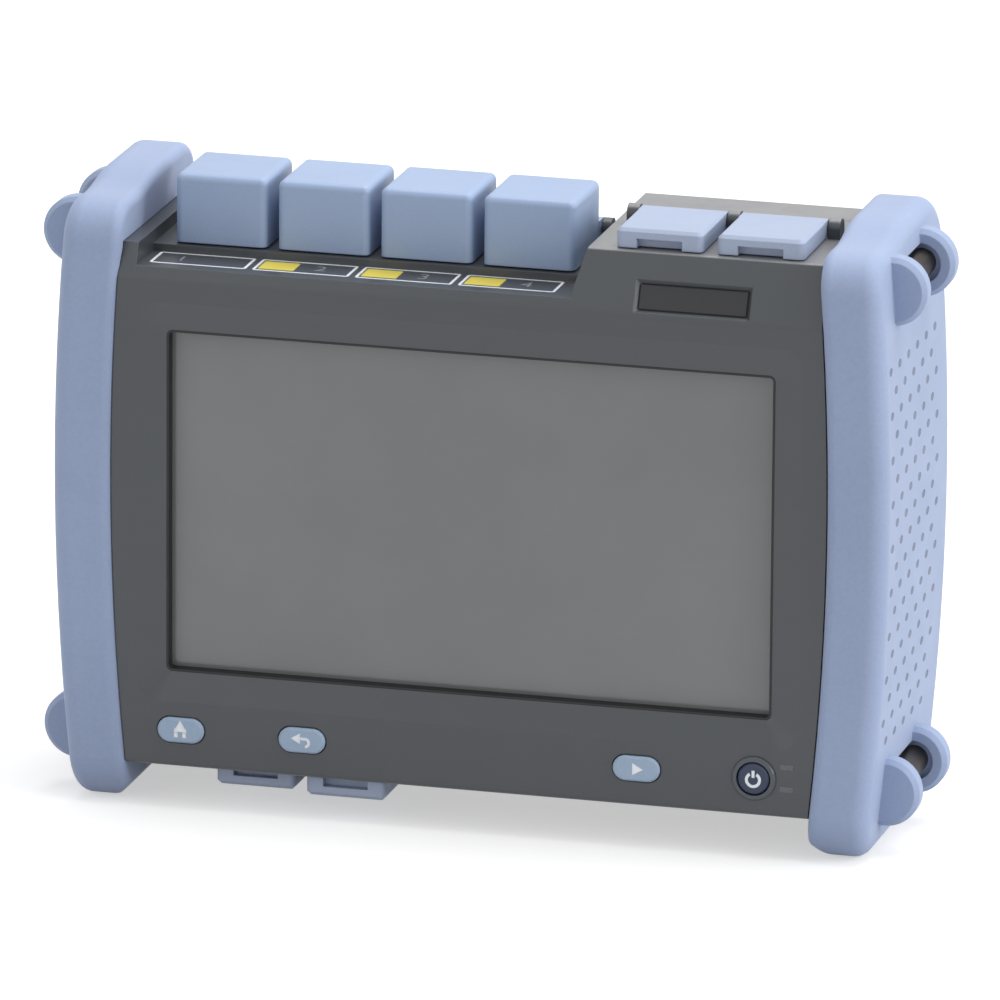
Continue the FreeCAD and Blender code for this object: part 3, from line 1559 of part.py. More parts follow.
def make_battery():
    """The battery pack, its lid and the lid's two screws."""
    lid_front = BACK - d.lid_thick
    half = d.battery_width / 2
    body = new_body("battery_pack")
    sketch = new_sketch(body, "XZ", lid_front - d.battery_thick)
    draw_rounded(sketch, -half, half, d.battery_z - d.battery_tall / 2,
                 d.battery_z + d.battery_tall / 2, d.module_round)
    pad(body, sketch, d.battery_thick)
    body = new_body("battery_lid")
    gap = d.lid_gap
    sketch = new_sketch(body, "XZ", lid_front)
    draw_rounded(sketch, -LID_HALF + gap, LID_HALF - gap, LID_LOW + gap, LID_HIGH - gap,
                 d.lid_margin - gap)
    pad(body, sketch, d.lid_thick)
    sketch = new_sketch(body, "XZ", BACK)
    for side in SIDES:
        draw_circle(sketch, d.lid_screw_x * side, LID_SCREW_Z, d.screw_head + d.pin_slack)
    pocket(body, sketch, d.screw_head_thick, forward=False)
    sketch = new_sketch(body, "XZ", BACK)
    for side in SIDES:
        draw_circle(sketch, d.lid_screw_x * side, LID_SCREW_Z, d.screw_radius)
    pocket(body, sketch, d.lid_thick, forward=False)
    sketch = new_sketch(body, "XZ", BACK)
    draw_rounded(sketch, -d.lid_grip_half, d.lid_grip_half, LID_LOW + d.lid_margin,
                 LID_LOW + d.lid_margin + d.lid_grip_tall, d.edge_round)
    pocket(body, sketch, d.lid_grip_depth, forward=False)
    group("lid_screws", [small_screw(d.lid_screw_x * side, BACK - d.screw_head_thick, LID_SCREW_Z)
                         for side in SIDES])


def make_stand():
    """The U-shaped stand and its two hinge pins."""
    body = new_body("stand")
    sketch = new_sketch(body, "XZ", STAND_FRONT)
    draw_stand(sketch, ZERO)
    pad(body, sketch, d.stand_thick)
    top = d.stand_axis_z + d.stand_thick / 2
    fillet(body, d.stand_eye_round, lambda edge: runs_along(edge, "x")
           and lies_at(edge, z=top))
    back = STAND_FRONT + d.stand_thick
    leg_start = (d.stand_foot + d.stand_bar + d.stand_round).value
    chamfer(body, d.stand_bevel, lambda edge: lies_at(edge, y=back)
            and edge.BoundBox.ZMin < leg_start)
    inner = d.stand_half - d.stand_leg
    for start in (inner, -d.stand_half):
        add_hole(body, "YZ", start, STAND_AXIS_Y, d.stand_axis_z,
                 d.stand_pin_radius + d.pin_slack, d.stand_leg)
    pins = []
    outer = d.stand_half + d.stand_gap
    for start in (inner - d.stand_gap - d.stand_lug, -outer - d.stand_lug):
        pins.append(rod("stand_pin", "x", start, STAND_AXIS_Y, d.stand_axis_z,
                        d.stand_pin_radius,
                        d.stand_leg + d.stand_gap * 2 + d.stand_lug * 2, is_node=False))
    group("stand_pins", pins)


def make_housing_screws():
    """The four screws that close the housing from the back."""
    screws = []
    for x, z in corner_places():
        screws.append(screw(
            "housing_screw", "y", (x, BACK - d.corner_head_thick, z), False,
            d.corner_screw_radius, d.corner_screw_length, d.corner_head, d.corner_head_thick))
    group("housing_screws", screws)


# ---------------------------------------------------------------- the whole instrument


def check_document():
    """Stop if anything in the document failed."""
    for item in doc.Objects:
        if "Invalid" in item.State or "Error" in item.State:
            raise RuntimeError(f"{item.Name} failed: {item.State}")
    for node in nodes:
        if node.Shape.isNull() or not node.Shape.isValid():
            raise RuntimeError(f"{node.Label} has no valid shape")


make_front_housing()
make_rear_housing()
make_guard("guard_left", -1)
make_guard("guard_right", 1)
make_strap_pins()
make_gasket()
make_display()
for cap_number in range(CAP_COUNT):
    make_dust_cap(cap_number)
rod("cap_rod", "x", FIRST_EAR, CAP_AXIS_Y, CAP_AXIS_Z, d.rod_radius,
    d.cap_pitch * CAP_COUNT + EAR_THICK)
make_meter_port()
for adapter_number in range(1, CAP_COUNT):
    make_fibre_adapter(adapter_number)
for cover_name in COVERS:
    make_cover(cover_name)
make_cover_pins()
make_network_socket()
make_tongue_socket("usb_socket", "top_cover_right", d.usb_width, d.usb_tall, d.usb_tongue,
                   d.usb_tongue_tall, d.usb_round)
make_power_socket()
make_tongue_socket("service_socket", "low_cover_right", d.service_width, d.service_tall,
                   d.service_tongue, d.service_tongue_tall, d.service_round)
make_port_board("top_port_board", 1, "top_cover_left", "top_cover_right")
make_port_board("low_port_board", -1, "low_cover_left", "low_cover_right")
for key_name in KEYS:
    make_key(key_name)
make_collar()
make_key_board()
make_badge()
make_inner_pieces()
make_board_screws()
make_battery()
make_stand()
make_housing_screws()

doc.recompute()
check_document()
os.makedirs("parts", exist_ok=True)
for node in nodes:
    node.Shape.exportStep(f"parts/{node.Label}.step")
print(f"{len(nodes)} nodes written")
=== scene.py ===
"""Dresses the reflectometer: finishes for every node, printed frames and signs, screws,
threads and contacts, and a plain studio around it."""
import json
import math

import bmesh
import bpy
from mathutils import Matrix, Vector


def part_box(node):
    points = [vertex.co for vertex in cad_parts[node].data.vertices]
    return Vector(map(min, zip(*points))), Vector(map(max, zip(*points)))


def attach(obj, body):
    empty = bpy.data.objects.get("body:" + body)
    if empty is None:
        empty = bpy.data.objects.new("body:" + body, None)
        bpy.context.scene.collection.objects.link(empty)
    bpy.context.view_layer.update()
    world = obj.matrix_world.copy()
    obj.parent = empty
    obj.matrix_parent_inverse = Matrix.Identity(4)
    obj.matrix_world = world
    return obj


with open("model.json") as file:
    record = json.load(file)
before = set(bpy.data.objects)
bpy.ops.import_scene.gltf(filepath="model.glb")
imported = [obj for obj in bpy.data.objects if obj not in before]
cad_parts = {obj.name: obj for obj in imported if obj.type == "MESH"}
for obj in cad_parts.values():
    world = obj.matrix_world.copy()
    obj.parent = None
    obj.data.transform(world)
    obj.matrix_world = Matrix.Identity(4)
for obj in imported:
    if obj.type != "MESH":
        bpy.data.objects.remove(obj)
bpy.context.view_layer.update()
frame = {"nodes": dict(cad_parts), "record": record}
nodes = frame["nodes"]


# ---------------------------------------------------------------- places and measures


def middle(name):
    """The middle of a node's box."""
    low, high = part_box(name)
    return (low + high) / 2


MM = 0.001
ROOT = "instrument"
SIDES = (-1, 1)
housing_low, housing_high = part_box("front_housing")
FACE_Y = housing_low.y
SPLIT_Y = housing_high.y
PLATFORM_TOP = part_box("rear_housing")[1].z

# The strip before the caps, from the top of an adapter down by way of the ledge.
ADAPTER_RISE = 10.5 * MM
STRIP_DROP = 2.0 * MM
STRIP_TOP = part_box("fibre_adapter_1")[1].z - ADAPTER_RISE - STRIP_DROP

# Dimples of the guards' grip, in rows that are shifted by half a pitch in turn.
DOT_PITCH = 9.4 * MM
DOT_ROW = 5.7 * MM
DOT_WIDE = 1.6 * MM
DOT_TALL = 1.0 * MM
DOT_FIRST_Y = FACE_Y + 6.0 * MM
DOT_FIRST_Z = 27.5 * MM
DOT_MIDDLE_Y = FACE_Y + 29.5 * MM
DOT_HALF_Y = 25.5 * MM
DOT_MIDDLE_Z = middle("touch_glass").z
DOT_HALF_Z = 51.3 * MM

# Thickness of print. Prints that overlap differ in it, so no two tops share a plane.
PRINT = 0.06 * MM
PRINT_SECOND = PRINT * 1.3
PRINT_THIRD = PRINT * 1.6
SIGN_LINE = 0.8 * MM
POINTS_UP, POINTS_LEFT, POINTS_RIGHT = 0, math.pi / 2, -math.pi / 2
POWER_GAP = math.radians(60)
ROUND_STEPS = 5
ARC_STEPS = 20

# Frames by the ports. A frame's middle stands left of its cap's and behind the face.
PORTS = range(1, 5)
MARKED_PORTS = range(2, 5)
FRAME_WIDE = 25.2 * MM
FRAME_TALL = 10.8 * MM
FRAME_LINE = 0.75 * MM
FRAME_ROUND = 0.9 * MM
FRAME_LEFT = 2.5 * MM
FRAME_BACK = 10.6 * MM
MARK_LEFT = FRAME_WIDE * 0.27
MARK_WIDE = FRAME_WIDE * 0.37
MARK_TALL = FRAME_TALL * 0.7
MARK_ROUND = 0.5 * MM
NUMBER_TALL = 6.5 * MM
NUMBER_ALONE_X = -5.5 * MM
NUMBER_BY_MARK_X = 4.0 * MM

# Screws on the back: half a corner screw's head, and the dark hexagon of painted shade that stands
# for the socket in every head.
CORNER_HEAD = 2.8 * MM
SOCKET_RADIUS = 1.25 * MM

# Optical ports, measured down from an adapter's top. A profile is radius and height.
ADAPTERS = range(1, 4)
SLEEVE_DOWN = 1.0 * MM
SLEEVE_INNER, SLEEVE_OUTER, SLEEVE_TALL = 1.3 * MM, 2.05 * MM, 0.3 * MM
SLEEVE = ((SLEEVE_INNER, 0), (SLEEVE_INNER, SLEEVE_TALL), (SLEEVE_OUTER, SLEEVE_TALL),
          (SLEEVE_OUTER, 0))
THREAD_DOWN = 8.3 * MM
THREAD_ROOT, THREAD_CREST, THREAD_TALL = 3.98 * MM, 4.22 * MM, 0.4 * MM
THREAD = ((THREAD_ROOT, 0), (THREAD_CREST, THREAD_TALL / 2), (THREAD_ROOT, THREAD_TALL))
THREAD_PITCH = 0.75 * MM
THREAD_TURNS = 9
TURN_STEPS = 32
WINDOW_RADIUS = 3.2 * MM
WINDOW_THICK = 0.3 * MM
WINDOW_DOWN = 4.9 * MM
WINDOW_SIDES = 40

# Contacts in millimetres: how many, their pitch, width and height, how far behind the
# socket's middle (negative is before it), how far inside its mouth, and whether the mouth
# opens up (1) or down (-1).
CONTACTS = {
    "network": (8, 1.02, 0.5, 7.0, -3.32, 1.5, 1),
    "usb": (4, 2.4, 1.2, 5.5, -0.9, 0.8, 1),
    "service": (10, 0.58, 0.32, 3.5, -0.35, 0.8, -1),
}
CONTACT_THICK = 0.08 * MM

# The studio. A lamp is its place, the length of its side and its power.
LAMPS = {
    "top_light": ((0.15, 0.35, 1.6), 1.3, 20),
    "right_light": ((1.5, -0.1, 0.7), 1.0, 14),
    "front_light": ((-1.2, -1.6, 0.7), 1.2, 4.5),
}
LAMP_AIM = (0, 0, 0.08)
AMBIENT = 0.6
FLOOR_GREY = 0.6
FLOOR_LIFT = 0.5
FLOOR_HALF = 8.0
FLOOR_TOP = -0.1 * MM
WHITE = (1, 1, 1, 1)


# ---------------------------------------------------------------- node trees


def tone(red, green, blue):
    """A colour as a screen shows it, in 0 to 255, as the linear colour a shader takes."""
    channels = []
    for value in (red, green, blue):
        share = value / 255
        channels.append(share / 12.92 if share <= 0.04045 else ((share + 0.055) / 1.055) ** 2.4)
    return (*channels, 1.0)


def node(tree, kind, inputs=None, **settings):
    """A new shader node. An input is a plain value or a socket to link from."""
    item = tree.nodes.new("ShaderNode" + kind)
    for key, value in settings.items():
        setattr(item, key, value)
    for key, value in (inputs or {}).items():
        if isinstance(value, bpy.types.NodeSocket):
            tree.links.new(value, item.inputs[key])
        else:
            item.inputs[key].default_value = value
    return item


def maths(tree, operation, *values):
    """The result of a Math node."""
    return node(tree, "Math", dict(enumerate(values)), operation=operation).outputs[0]


def product(tree, *values):
    """Two or more values multiplied together."""
    result = values[0]
    for value in values[1:]:
        result = maths(tree, "MULTIPLY", result, value)
    return result


def blend_colour(tree, share, first, second):
    """A mix of two colours."""
    return node(tree, "Mix", {0: share, 6: first, 7: second}, data_type="RGBA").outputs[2]


def shade_colour(tree, colour, share):
    """A colour made lighter or darker."""
    return node(tree, "VectorMath", {0: colour, "Scale": share}, operation="SCALE").outputs[0]


def ramp(tree, value, low, high, to_low=0.0, to_high=1.0):
    """A value carried from one range to another, held at both ends."""
    return node(tree, "MapRange", {
        0: value, 1: low, 2: high, 3: to_low, 4: to_high}).outputs[0]


def own_place(tree):
    """The piece's own coordinates."""
    return node(tree, "TexCoord").outputs["Object"]


def own_axes(tree):
    """The piece's own coordinates as X, Y and Z."""
    return node(tree, "SeparateXYZ", {0: own_place(tree)}).outputs


def normal_axes(tree):
    """The surface's direction as X, Y and Z."""
    return node(tree, "SeparateXYZ", {0: node(tree, "NewGeometry").outputs["Normal"]}).outputs


def noise(tree, scale, detail=2.0, stretch=None):
    """Noise on the piece's own coordinates."""
    place = own_place(tree)
    if stretch:
        place = node(tree, "Mapping", {"Vector": place, "Scale": stretch}).outputs[0]
    return node(tree, "TexNoise", {"Vector": place, "Scale": scale, "Detail": detail}).outputs[0]


def within(tree, value, centre, half):
    """One where a value is less than half a width from a centre."""
    away = maths(tree, "ABSOLUTE", maths(tree, "SUBTRACT", value, centre))
    return maths(tree, "LESS_THAN", away, half)


def from_cell_middle(tree, value, pitch):
    """How far a value is from the middle of its cell, in cells of one pitch."""
    return maths(tree, "SUBTRACT", maths(tree, "FLOORED_MODULO", value, pitch), pitch / 2)


def new_group(name, inputs, outputs):
    """An empty node group with named sockets, and its two end nodes."""
    tree = bpy.data.node_groups.new(name, "ShaderNodeTree")
    for label, kind, value in inputs:
        socket = tree.interface.new_socket(label, in_out="INPUT", socket_type="NodeSocket" + kind)
        socket.default_value = value
    for label, kind in outputs:
        tree.interface.new_socket(label, in_out="OUTPUT", socket_type="NodeSocket" + kind)
    return tree, tree.nodes.new("NodeGroupInput"), tree.nodes.new("NodeGroupOutput")


def build_moulded_surface():
    """Grain, slow colour changes, handling marks, and edges tinted as wear and as painted
    highlight, of a moulded piece.
    """
    tree, given, result = new_group("moulded_surface", [
        ("Colour", "Color", (0.5, 0.5, 0.5, 1)), ("Worn Colour", "Color", (0.7, 0.7, 0.7, 1)),
        ("Roughness", "Float", 0.5), ("Grain Scale", "Float", 2000.0),
        ("Grain Depth", "Float", 0.1), ("Worn And Highlit Edge Share", "Float", 0.3)],
        [("Colour", "Color"), ("Roughness", "Float"), ("Normal", "Vector")])
    grain = noise(tree, given.outputs["Grain Scale"], 3.0)
    marks = noise(tree, 95.0, 6.0)
    drift = noise(tree, 14.0, 2.0)

    # A rounded normal leaves the flat one near an edge, and that is where the edge colour shows,
    # standing for wear and for painted highlight.
    soft = node(tree, "Bevel", {"Radius": 0.45 * MM}, samples=4).outputs[0]
    flat = node(tree, "NewGeometry").outputs["Normal"]
    facing = node(tree, "VectorMath", {0: soft, 1: flat}, operation="DOT_PRODUCT").outputs["Value"]
    edge = product(tree, ramp(tree, facing, 0.995, 0.86), ramp(tree, marks, 0.35, 0.6, 0.35, 1.0),
                   given.outputs["Worn And Highlit Edge Share"])
    shade = product(tree, ramp(tree, drift, 0.3, 0.7, 0.95, 1.05),
                    ramp(tree, grain, 0.3, 0.7, 0.97, 1.03))
    plain = shade_colour(tree, given.outputs["Colour"], shade)
    tree.links.new(blend_colour(tree, edge, plain, given.outputs["Worn Colour"]),
                   result.inputs["Colour"])
    smudged = ramp(tree, marks, 0.35, 0.7, -0.05, 0.06)
    rough = maths(tree, "ADD", given.outputs["Roughness"], smudged)
    rough = maths(tree, "ADD", rough, ramp(tree, grain, 0.2, 0.8, -0.03, 0.03))
    tree.links.new(rough, result.inputs["Roughness"])
    bump = node(tree, "Bump", {
        "Strength": given.outputs["Grain Depth"], "Distance": 0.05 * MM, "Height": grain,
        "Normal": soft})
    tree.links.new(bump.outputs[0], result.inputs["Normal"])
    return tree


def build_brushed_surface():
    """Fine turning and brushing marks of a metal piece, drawn out along one direction."""
    tree, given, result = new_group("brushed_surface", [
        ("Colour", "Color", (0.6, 0.6, 0.6, 1)), ("Roughness", "Float", 0.3),
        ("Stretch", "Vector", (1, 1, 1)), ("Depth", "Float", 0.1)],
        [("Colour", "Color"), ("Roughness", "Float"), ("Normal", "Vector")])
    place = node(tree, "VectorMath", {0: own_place(tree), 1: given.outputs["Stretch"]},
                 operation="MULTIPLY").outputs[0]
    lines = node(tree, "TexNoise", {"Vector": place, "Scale": 900.0, "Detail": 3.0}).outputs[0]
    stain = noise(tree, 120.0, 4.0)
    shade = product(tree, ramp(tree, lines, 0.3, 0.7, 0.9, 1.08),
                    ramp(tree, stain, 0.35, 0.65, 0.92, 1.04))
    tree.links.new(shade_colour(tree, given.outputs["Colour"], shade), result.inputs["Colour"])
    rough = maths(tree, "ADD", given.outputs["Roughness"], ramp(tree, lines, 0.3, 0.7, -0.06, 0.08))
    tree.links.new(rough, result.inputs["Roughness"])
    bump = node(tree, "Bump", {
        "Strength": given.outputs["Depth"], "Distance": 0.02 * MM, "Height": lines})
    tree.links.new(bump.outputs[0], result.inputs["Normal"])
    return tree


def build_grip_dots():
    """Staggered rows of small oval dimples on the guards' outer sides, as a mask."""
    tree, _, result = new_group("grip_dots", [], [("Mask", "Float")])
    axes = own_axes(tree)
    across = maths(tree, "SUBTRACT", axes["Y"], DOT_FIRST_Y)
    up = maths(tree, "SUBTRACT", axes["Z"], DOT_FIRST_Z)
    row = maths(tree, "FLOOR", maths(tree, "DIVIDE", up, DOT_ROW))
    odd = maths(tree, "FLOORED_MODULO", row, 2.0)
    shifted = maths(tree, "ADD", across, product(tree, odd, DOT_PITCH / 2))
    wide = maths(tree, "DIVIDE", from_cell_middle(tree, shifted, DOT_PITCH), DOT_WIDE)
    tall = maths(tree, "DIVIDE", from_cell_middle(tree, up, DOT_ROW), DOT_TALL)
    oval = maths(tree, "ADD", maths(tree, "POWER", wide, 2.0), maths(tree, "POWER", tall, 2.0))
    outward = ramp(tree, maths(tree, "ABSOLUTE", normal_axes(tree)["X"]), 0.93, 0.97)
    mask = product(tree, ramp(tree, oval, 1.2, 0.7), outward,
                   within(tree, axes["Y"], DOT_MIDDLE_Y, DOT_HALF_Y),
                   within(tree, axes["Z"], DOT_MIDDLE_Z, DOT_HALF_Z))
    tree.links.new(mask, result.inputs["Mask"])
    return tree


MOULDED = build_moulded_surface()
BRUSHED = build_brushed_surface()
GRIP_DOTS = build_grip_dots()


# ---------------------------------------------------------------- finishes


def new_finish(name, group, inputs, **shader):
    """A material whose colour, roughness and normal come from a surface group."""
    material = bpy.data.materials.new(name)
    material.use_nodes = True
    tree = material.node_tree
    surface = tree.nodes["Principled BSDF"]
    source = node(tree, "Group", node_tree=group)
    for key, value in inputs.items():
        source.inputs[key].default_value = value
    tree.links.new(source.outputs["Colour"], surface.inputs["Base Color"])
    tree.links.new(source.outputs["Roughness"], surface.inputs["Roughness"])
    tree.links.new(source.outputs["Normal"], surface.inputs["Normal"])
    for key, value in shader.items():
        surface.inputs[key.replace("_", " ")].default_value = value
    return material, tree, source, surface


def moulded_nodes(name, colour, worn_highlit_edge_colour, roughness, grain_scale, grain_depth, edge_wear_and_highlight, **shader):
    """A moulded plastic or rubber finish, and its nodes for what is added to it."""
    return new_finish(name, MOULDED, {
        "Colour": tone(*colour), "Worn Colour": tone(*worn_highlit_edge_colour), "Roughness": roughness,
        "Grain Scale": grain_scale, "Grain Depth": grain_depth, "Worn And Highlit Edge Share": edge_wear_and_highlight}, **shader)


def moulded(*values, **shader):
    """A plain moulded finish, from the same values."""
    return moulded_nodes(*values, **shader)[0]


def metal(name, colour, roughness, stretch, depth):
    """A bare or plated metal finish."""
    return new_finish(name, BRUSHED, {
        "Colour": tone(*colour), "Roughness": roughness, "Stretch": stretch, "Depth": depth},
        Metallic=1.0)[0]


def housing_finish():
    """Dark textured plastic, lightened on the platform's top as painted sheen, with a dark line
    where the halves meet.
    """
    material, tree, source, surface = moulded_nodes(
        "textured_grey_plastic", (58, 62, 67), (90, 93, 98), 0.4, 1500.0, 0.3, 0.35,
        Coat_Weight=0.35, Coat_Roughness=0.32)
    axes = own_axes(tree)
    away = maths(tree, "ABSOLUTE", maths(tree, "SUBTRACT", axes["Y"], SPLIT_Y))
    seam = ramp(tree, away, 0.28 * MM, 0.16 * MM)
    # Painted sheen: up-facing faces at the platform's top are lightened towards pale grey, broken
    # up by noise.
    painted_platform_sheen = product(
        tree, ramp(tree, normal_axes(tree)["Z"], 0.6, 0.95),
        ramp(tree, axes["Z"], PLATFORM_TOP - 2.0 * MM, PLATFORM_TOP - 0.6 * MM),
        ramp(tree, noise(tree, 60.0, 4.0), 0.3, 0.7, 0.75, 1.0))
    plain = blend_colour(tree, painted_platform_sheen, source.outputs["Colour"], tone(122, 122, 124))
    tree.links.new(blend_colour(tree, seam, plain, tone(22, 23, 25)),
                   surface.inputs["Base Color"])
    return material


def guard_finish():
    """Soft pale blue rubber, with the dimples of its grip, darkened inside as painted shade."""
    material, tree, source, surface = moulded_nodes(
        "pale_blue_rubber", (145, 160, 191), (176, 187, 209), 0.62, 1100.0, 0.3, 0.3,
        Sheen_Weight=0.12, Sheen_Roughness=0.5)
    dots = node(tree, "Group", node_tree=GRIP_DOTS).outputs["Mask"]
    # The dimples are darkened towards a deeper blue as painted shade in their hollows.
    tree.links.new(blend_colour(tree, dots, source.outputs["Colour"], tone(98, 108, 134)),
                   surface.inputs["Base Color"])
    hollow = node(tree, "Bump", {
        "Strength": 0.8, "Distance": 0.5 * MM, "Height": maths(tree, "SUBTRACT", 1.0, dots),
        "Normal": source.outputs["Normal"]})
    tree.links.new(hollow.outputs[0], surface.inputs["Normal"])
    return material


def screen_finish():
    """The glass over a display that is switched off: grey, smooth, with faint smears."""
    material, tree, _, surface = moulded_nodes(
        "display_glass", (110, 112, 114), (118, 120, 122), 0.2, 60.0, 0.01, 0.0,
        Coat_Weight=0.4, Coat_Roughness=0.06)
    smears = noise(tree, 30.0, 5.0, stretch=(0.4, 1, 2.2))
    tree.links.new(ramp(tree, smears, 0.35, 0.7, 0.17, 0.26), surface.inputs["Roughness"])
    return material


def circuit_finish():
    """Green solder mask over faint copper tracks."""
    material, tree, source, surface = moulded_nodes(
        "green_circuit_board", (26, 92, 58), (90, 120, 80), 0.38, 900.0, 0.1, 0.5)
    tracks = node(tree, "TexVoronoi", {"Vector": own_place(tree), "Scale": 230.0},
                  feature="DISTANCE_TO_EDGE", distance="EUCLIDEAN").outputs[0]
    line = ramp(tree, tracks, 0.07, 0.03)
    tree.links.new(blend_colour(tree, line, source.outputs["Colour"], tone(58, 128, 84)),
                   surface.inputs["Base Color"])
    return material


# A moulded finish is its colour, its edge colour for wear and painted highlight, roughness, grain
# scale and depth, and how much of that edge colour shows.
# A metal one is its colour, roughness, the stretch of its marks, and their depth.
FINISHES = {
    "housing": housing_finish(),
    "guard": guard_finish(),
    "glass": screen_finish(),
    "circuit_board": circuit_finish(),
    "cap": moulded("pale_blue_cap_plastic", (145, 164, 195), (182, 194, 216), 0.42, 1900.0,
                   0.16, 0.4),
    "cover": moulded("pale_blue_cover_plastic", (154, 166, 190), (186, 195, 212), 0.5, 1900.0,
                     0.16, 0.4),
    "key": moulded("grey_blue_key_rubber", (154, 174, 198), (182, 197, 213), 0.55, 1500.0,
                   0.12, 0.3),
    "power_key": moulded("navy_key_rubber", (44, 54, 78), (78, 88, 110), 0.5, 1500.0, 0.12, 0.4),
    "collar": moulded("dark_collar_plastic", (62, 68, 76), (96, 101, 108), 0.34, 1600.0,
                      0.05, 0.5, Coat_Weight=0.3),
    "gasket": moulded("black_seal_rubber", (22, 23, 25), (48, 49, 52), 0.6, 1500.0, 0.2, 0.2),
    "panel": moulded("display_frame", (96, 98, 102), (120, 122, 126), 0.5, 900.0, 0.1, 0.3),
    "socket": moulded("black_socket_plastic", (30, 31, 33), (62, 63, 66), 0.42, 1300.0, 0.12, 0.4),
    "switch": moulded("black_switch_plastic", (36, 36, 39), (78, 78, 80), 0.4, 1300.0, 0.1, 0.4),
    "light_guide": moulded("clear_light_guide", (84, 88, 94), (112, 116, 120), 0.3, 700.0,
                           0.03, 0.3, Coat_Weight=0.2),
    "badge": moulded("bare_badge_plastic", (34, 35, 38), (70, 72, 76), 0.34, 1400.0, 0.08, 0.5),
    "battery": moulded("dark_battery_wrap", (40, 41, 44), (80, 80, 82), 0.36, 500.0, 0.08, 0.5),
    "rear_plastic": moulded("dark_lid_plastic", (78, 82, 87), (112, 115, 119), 0.46, 1500.0,
                            0.35, 0.5),
    "lug_pin": metal("dark_pin_steel", (94, 88, 84), 0.42, (1, 0.06, 1), 0.2),
    "steel": metal("zinc_plated_steel", (176, 178, 182), 0.3, (1, 1, 1), 0.15),
    "port_metal": metal("nickel_plated_brass", (196, 192, 184), 0.24, (1, 1, 8), 0.12),
    "chassis": metal("chassis_aluminium", (190, 192, 194), 0.34, (0.08, 1, 1), 0.2),
    "module_can": metal("tinned_can", (182, 184, 186), 0.3, (1, 1, 0.1), 0.15),
}
for part in frame["record"]["subparts"]:
    mesh = nodes[part["node"]].data
    mesh.materials.clear()
    mesh.materials.append(FINISHES[part["material_slot"]])

WHITE_INK = moulded("white_print", (222, 225, 228), (190, 193, 198), 0.5, 1500.0, 0.08, 0.2)
DIM_INK = moulded("grey_print", (128, 131, 136), (110, 112, 116), 0.5, 1500.0, 0.08, 0.2)
SIGN_INK = moulded("pale_sign_print", (236, 242, 248), (206, 214, 224), 0.5, 1500.0, 0.08, 0.2)
YELLOW_INK = moulded("yellow_print", (206, 190, 78), (180, 170, 90), 0.48, 900.0, 0.06, 0.3)
GOLD = metal("gold_contact", (214, 176, 92), 0.22, (1, 1, 6), 0.1)
CERAMIC = moulded("white_ceramic", (226, 226, 220), (236, 236, 232), 0.22, 1500.0, 0.03, 0.2)
DETECTOR = moulded("detector_glass", (40, 22, 34), (60, 40, 50), 0.08, 900.0, 0.01, 0.0,
                   Coat_Weight=0.5)


# ---------------------------------------------------------------- making pieces


def finish_piece(name, shape, material, body=ROOT):
    """An object from a bmesh that is already in place, riding on a body."""
    bmesh.ops.remove_doubles(shape, verts=shape.verts, dist=1e-7)
    bmesh.ops.recalc_face_normals(shape, faces=shape.faces)
    mesh = bpy.data.meshes.new(name)
    shape.to_mesh(mesh)
    shape.free()
    mesh.materials.append(material)
    item = bpy.data.objects.new(name, mesh)
    bpy.context.scene.collection.objects.link(item)
    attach(item, body)


def flat_sheet(shape, width, tall, radius=0.0):
    """A flat face about the origin, its corners rounded, as its corner points."""
    points = bmesh.ops.create_grid(shape, x_segments=1, y_segments=1, size=0.5)["verts"]
    bmesh.ops.scale(shape, verts=points, vec=(width, tall, 1))
    if radius:
        points = bmesh.ops.bevel(shape, geom=points, offset=radius, segments=ROUND_STEPS,
                                 profile=0.5, affect="VERTICES", material=-1)["verts"]
    return points


def thicken(shape, faces, thick):
    """Give flat faces a thickness, and say which points were raised."""
    raised = bmesh.ops.extrude_face_region(shape, geom=faces)["geom"]
    lifted = [item for item in raised if isinstance(item, bmesh.types.BMVert)]
    bmesh.ops.translate(shape, verts=lifted, vec=(0, 0, thick))
    return lifted


def add_plate(shape, x, y, width, tall, thick, radius=0.0):
    """A thin plate on the sketching plane z = 0."""
    points = flat_sheet(shape, width, tall, radius)
    lifted = thicken(shape, [points[0].link_faces[0]], thick)
    bmesh.ops.translate(shape, verts=points + lifted, vec=(x, y, 0))


def add_frame(shape, width, tall, line, thick, radius):
    """A printed outline: a rounded plate with its middle taken out."""
    plate = flat_sheet(shape, width, tall, radius)[0].link_faces[0]
    ring = bmesh.ops.inset_region(shape, faces=[plate], thickness=line, use_even_offset=True,
                                  use_boundary=True)["faces"]
    bmesh.ops.delete(shape, geom=[plate], context="FACES_ONLY")
    thicken(shape, ring, thick)


def add_arc(shape, x, y, radius, line, thick, start, sweep):
    """A printed arc of a ring, from an angle and through another."""
    inner = shape.verts.new((radius - line / 2, 0, 0))
    outer = shape.verts.new((radius + line / 2, 0, 0))
    edge = shape.edges.new((inner, outer))
    bmesh.ops.rotate(shape, verts=[inner, outer], cent=(0, 0, 0),
                     matrix=Matrix.Rotation(start, 3, "Z"))
    bmesh.ops.translate(shape, verts=[inner, outer], vec=(x, y, 0))
    before = set(shape.faces)
    bmesh.ops.spin(shape, geom=[inner, outer, edge], cent=(x, y, 0), axis=(0, 0, 1),
                   angle=sweep, steps=ARC_STEPS)
    thicken(shape, [face for face in shape.faces if face not in before], thick)


def add_point(shape, x, y, radius, thick, turn):
    """A printed triangle that points along an angle."""
    points = bmesh.ops.create_cone(shape, cap_ends=True, segments=3, radius1=radius,
                                   radius2=radius, depth=thick)["verts"]
    bmesh.ops.rotate(shape, verts=points, cent=(0, 0, 0), matrix=Matrix.Rotation(turn, 3, "Z"))
    bmesh.ops.translate(shape, verts=points, vec=(x, y, thick / 2))


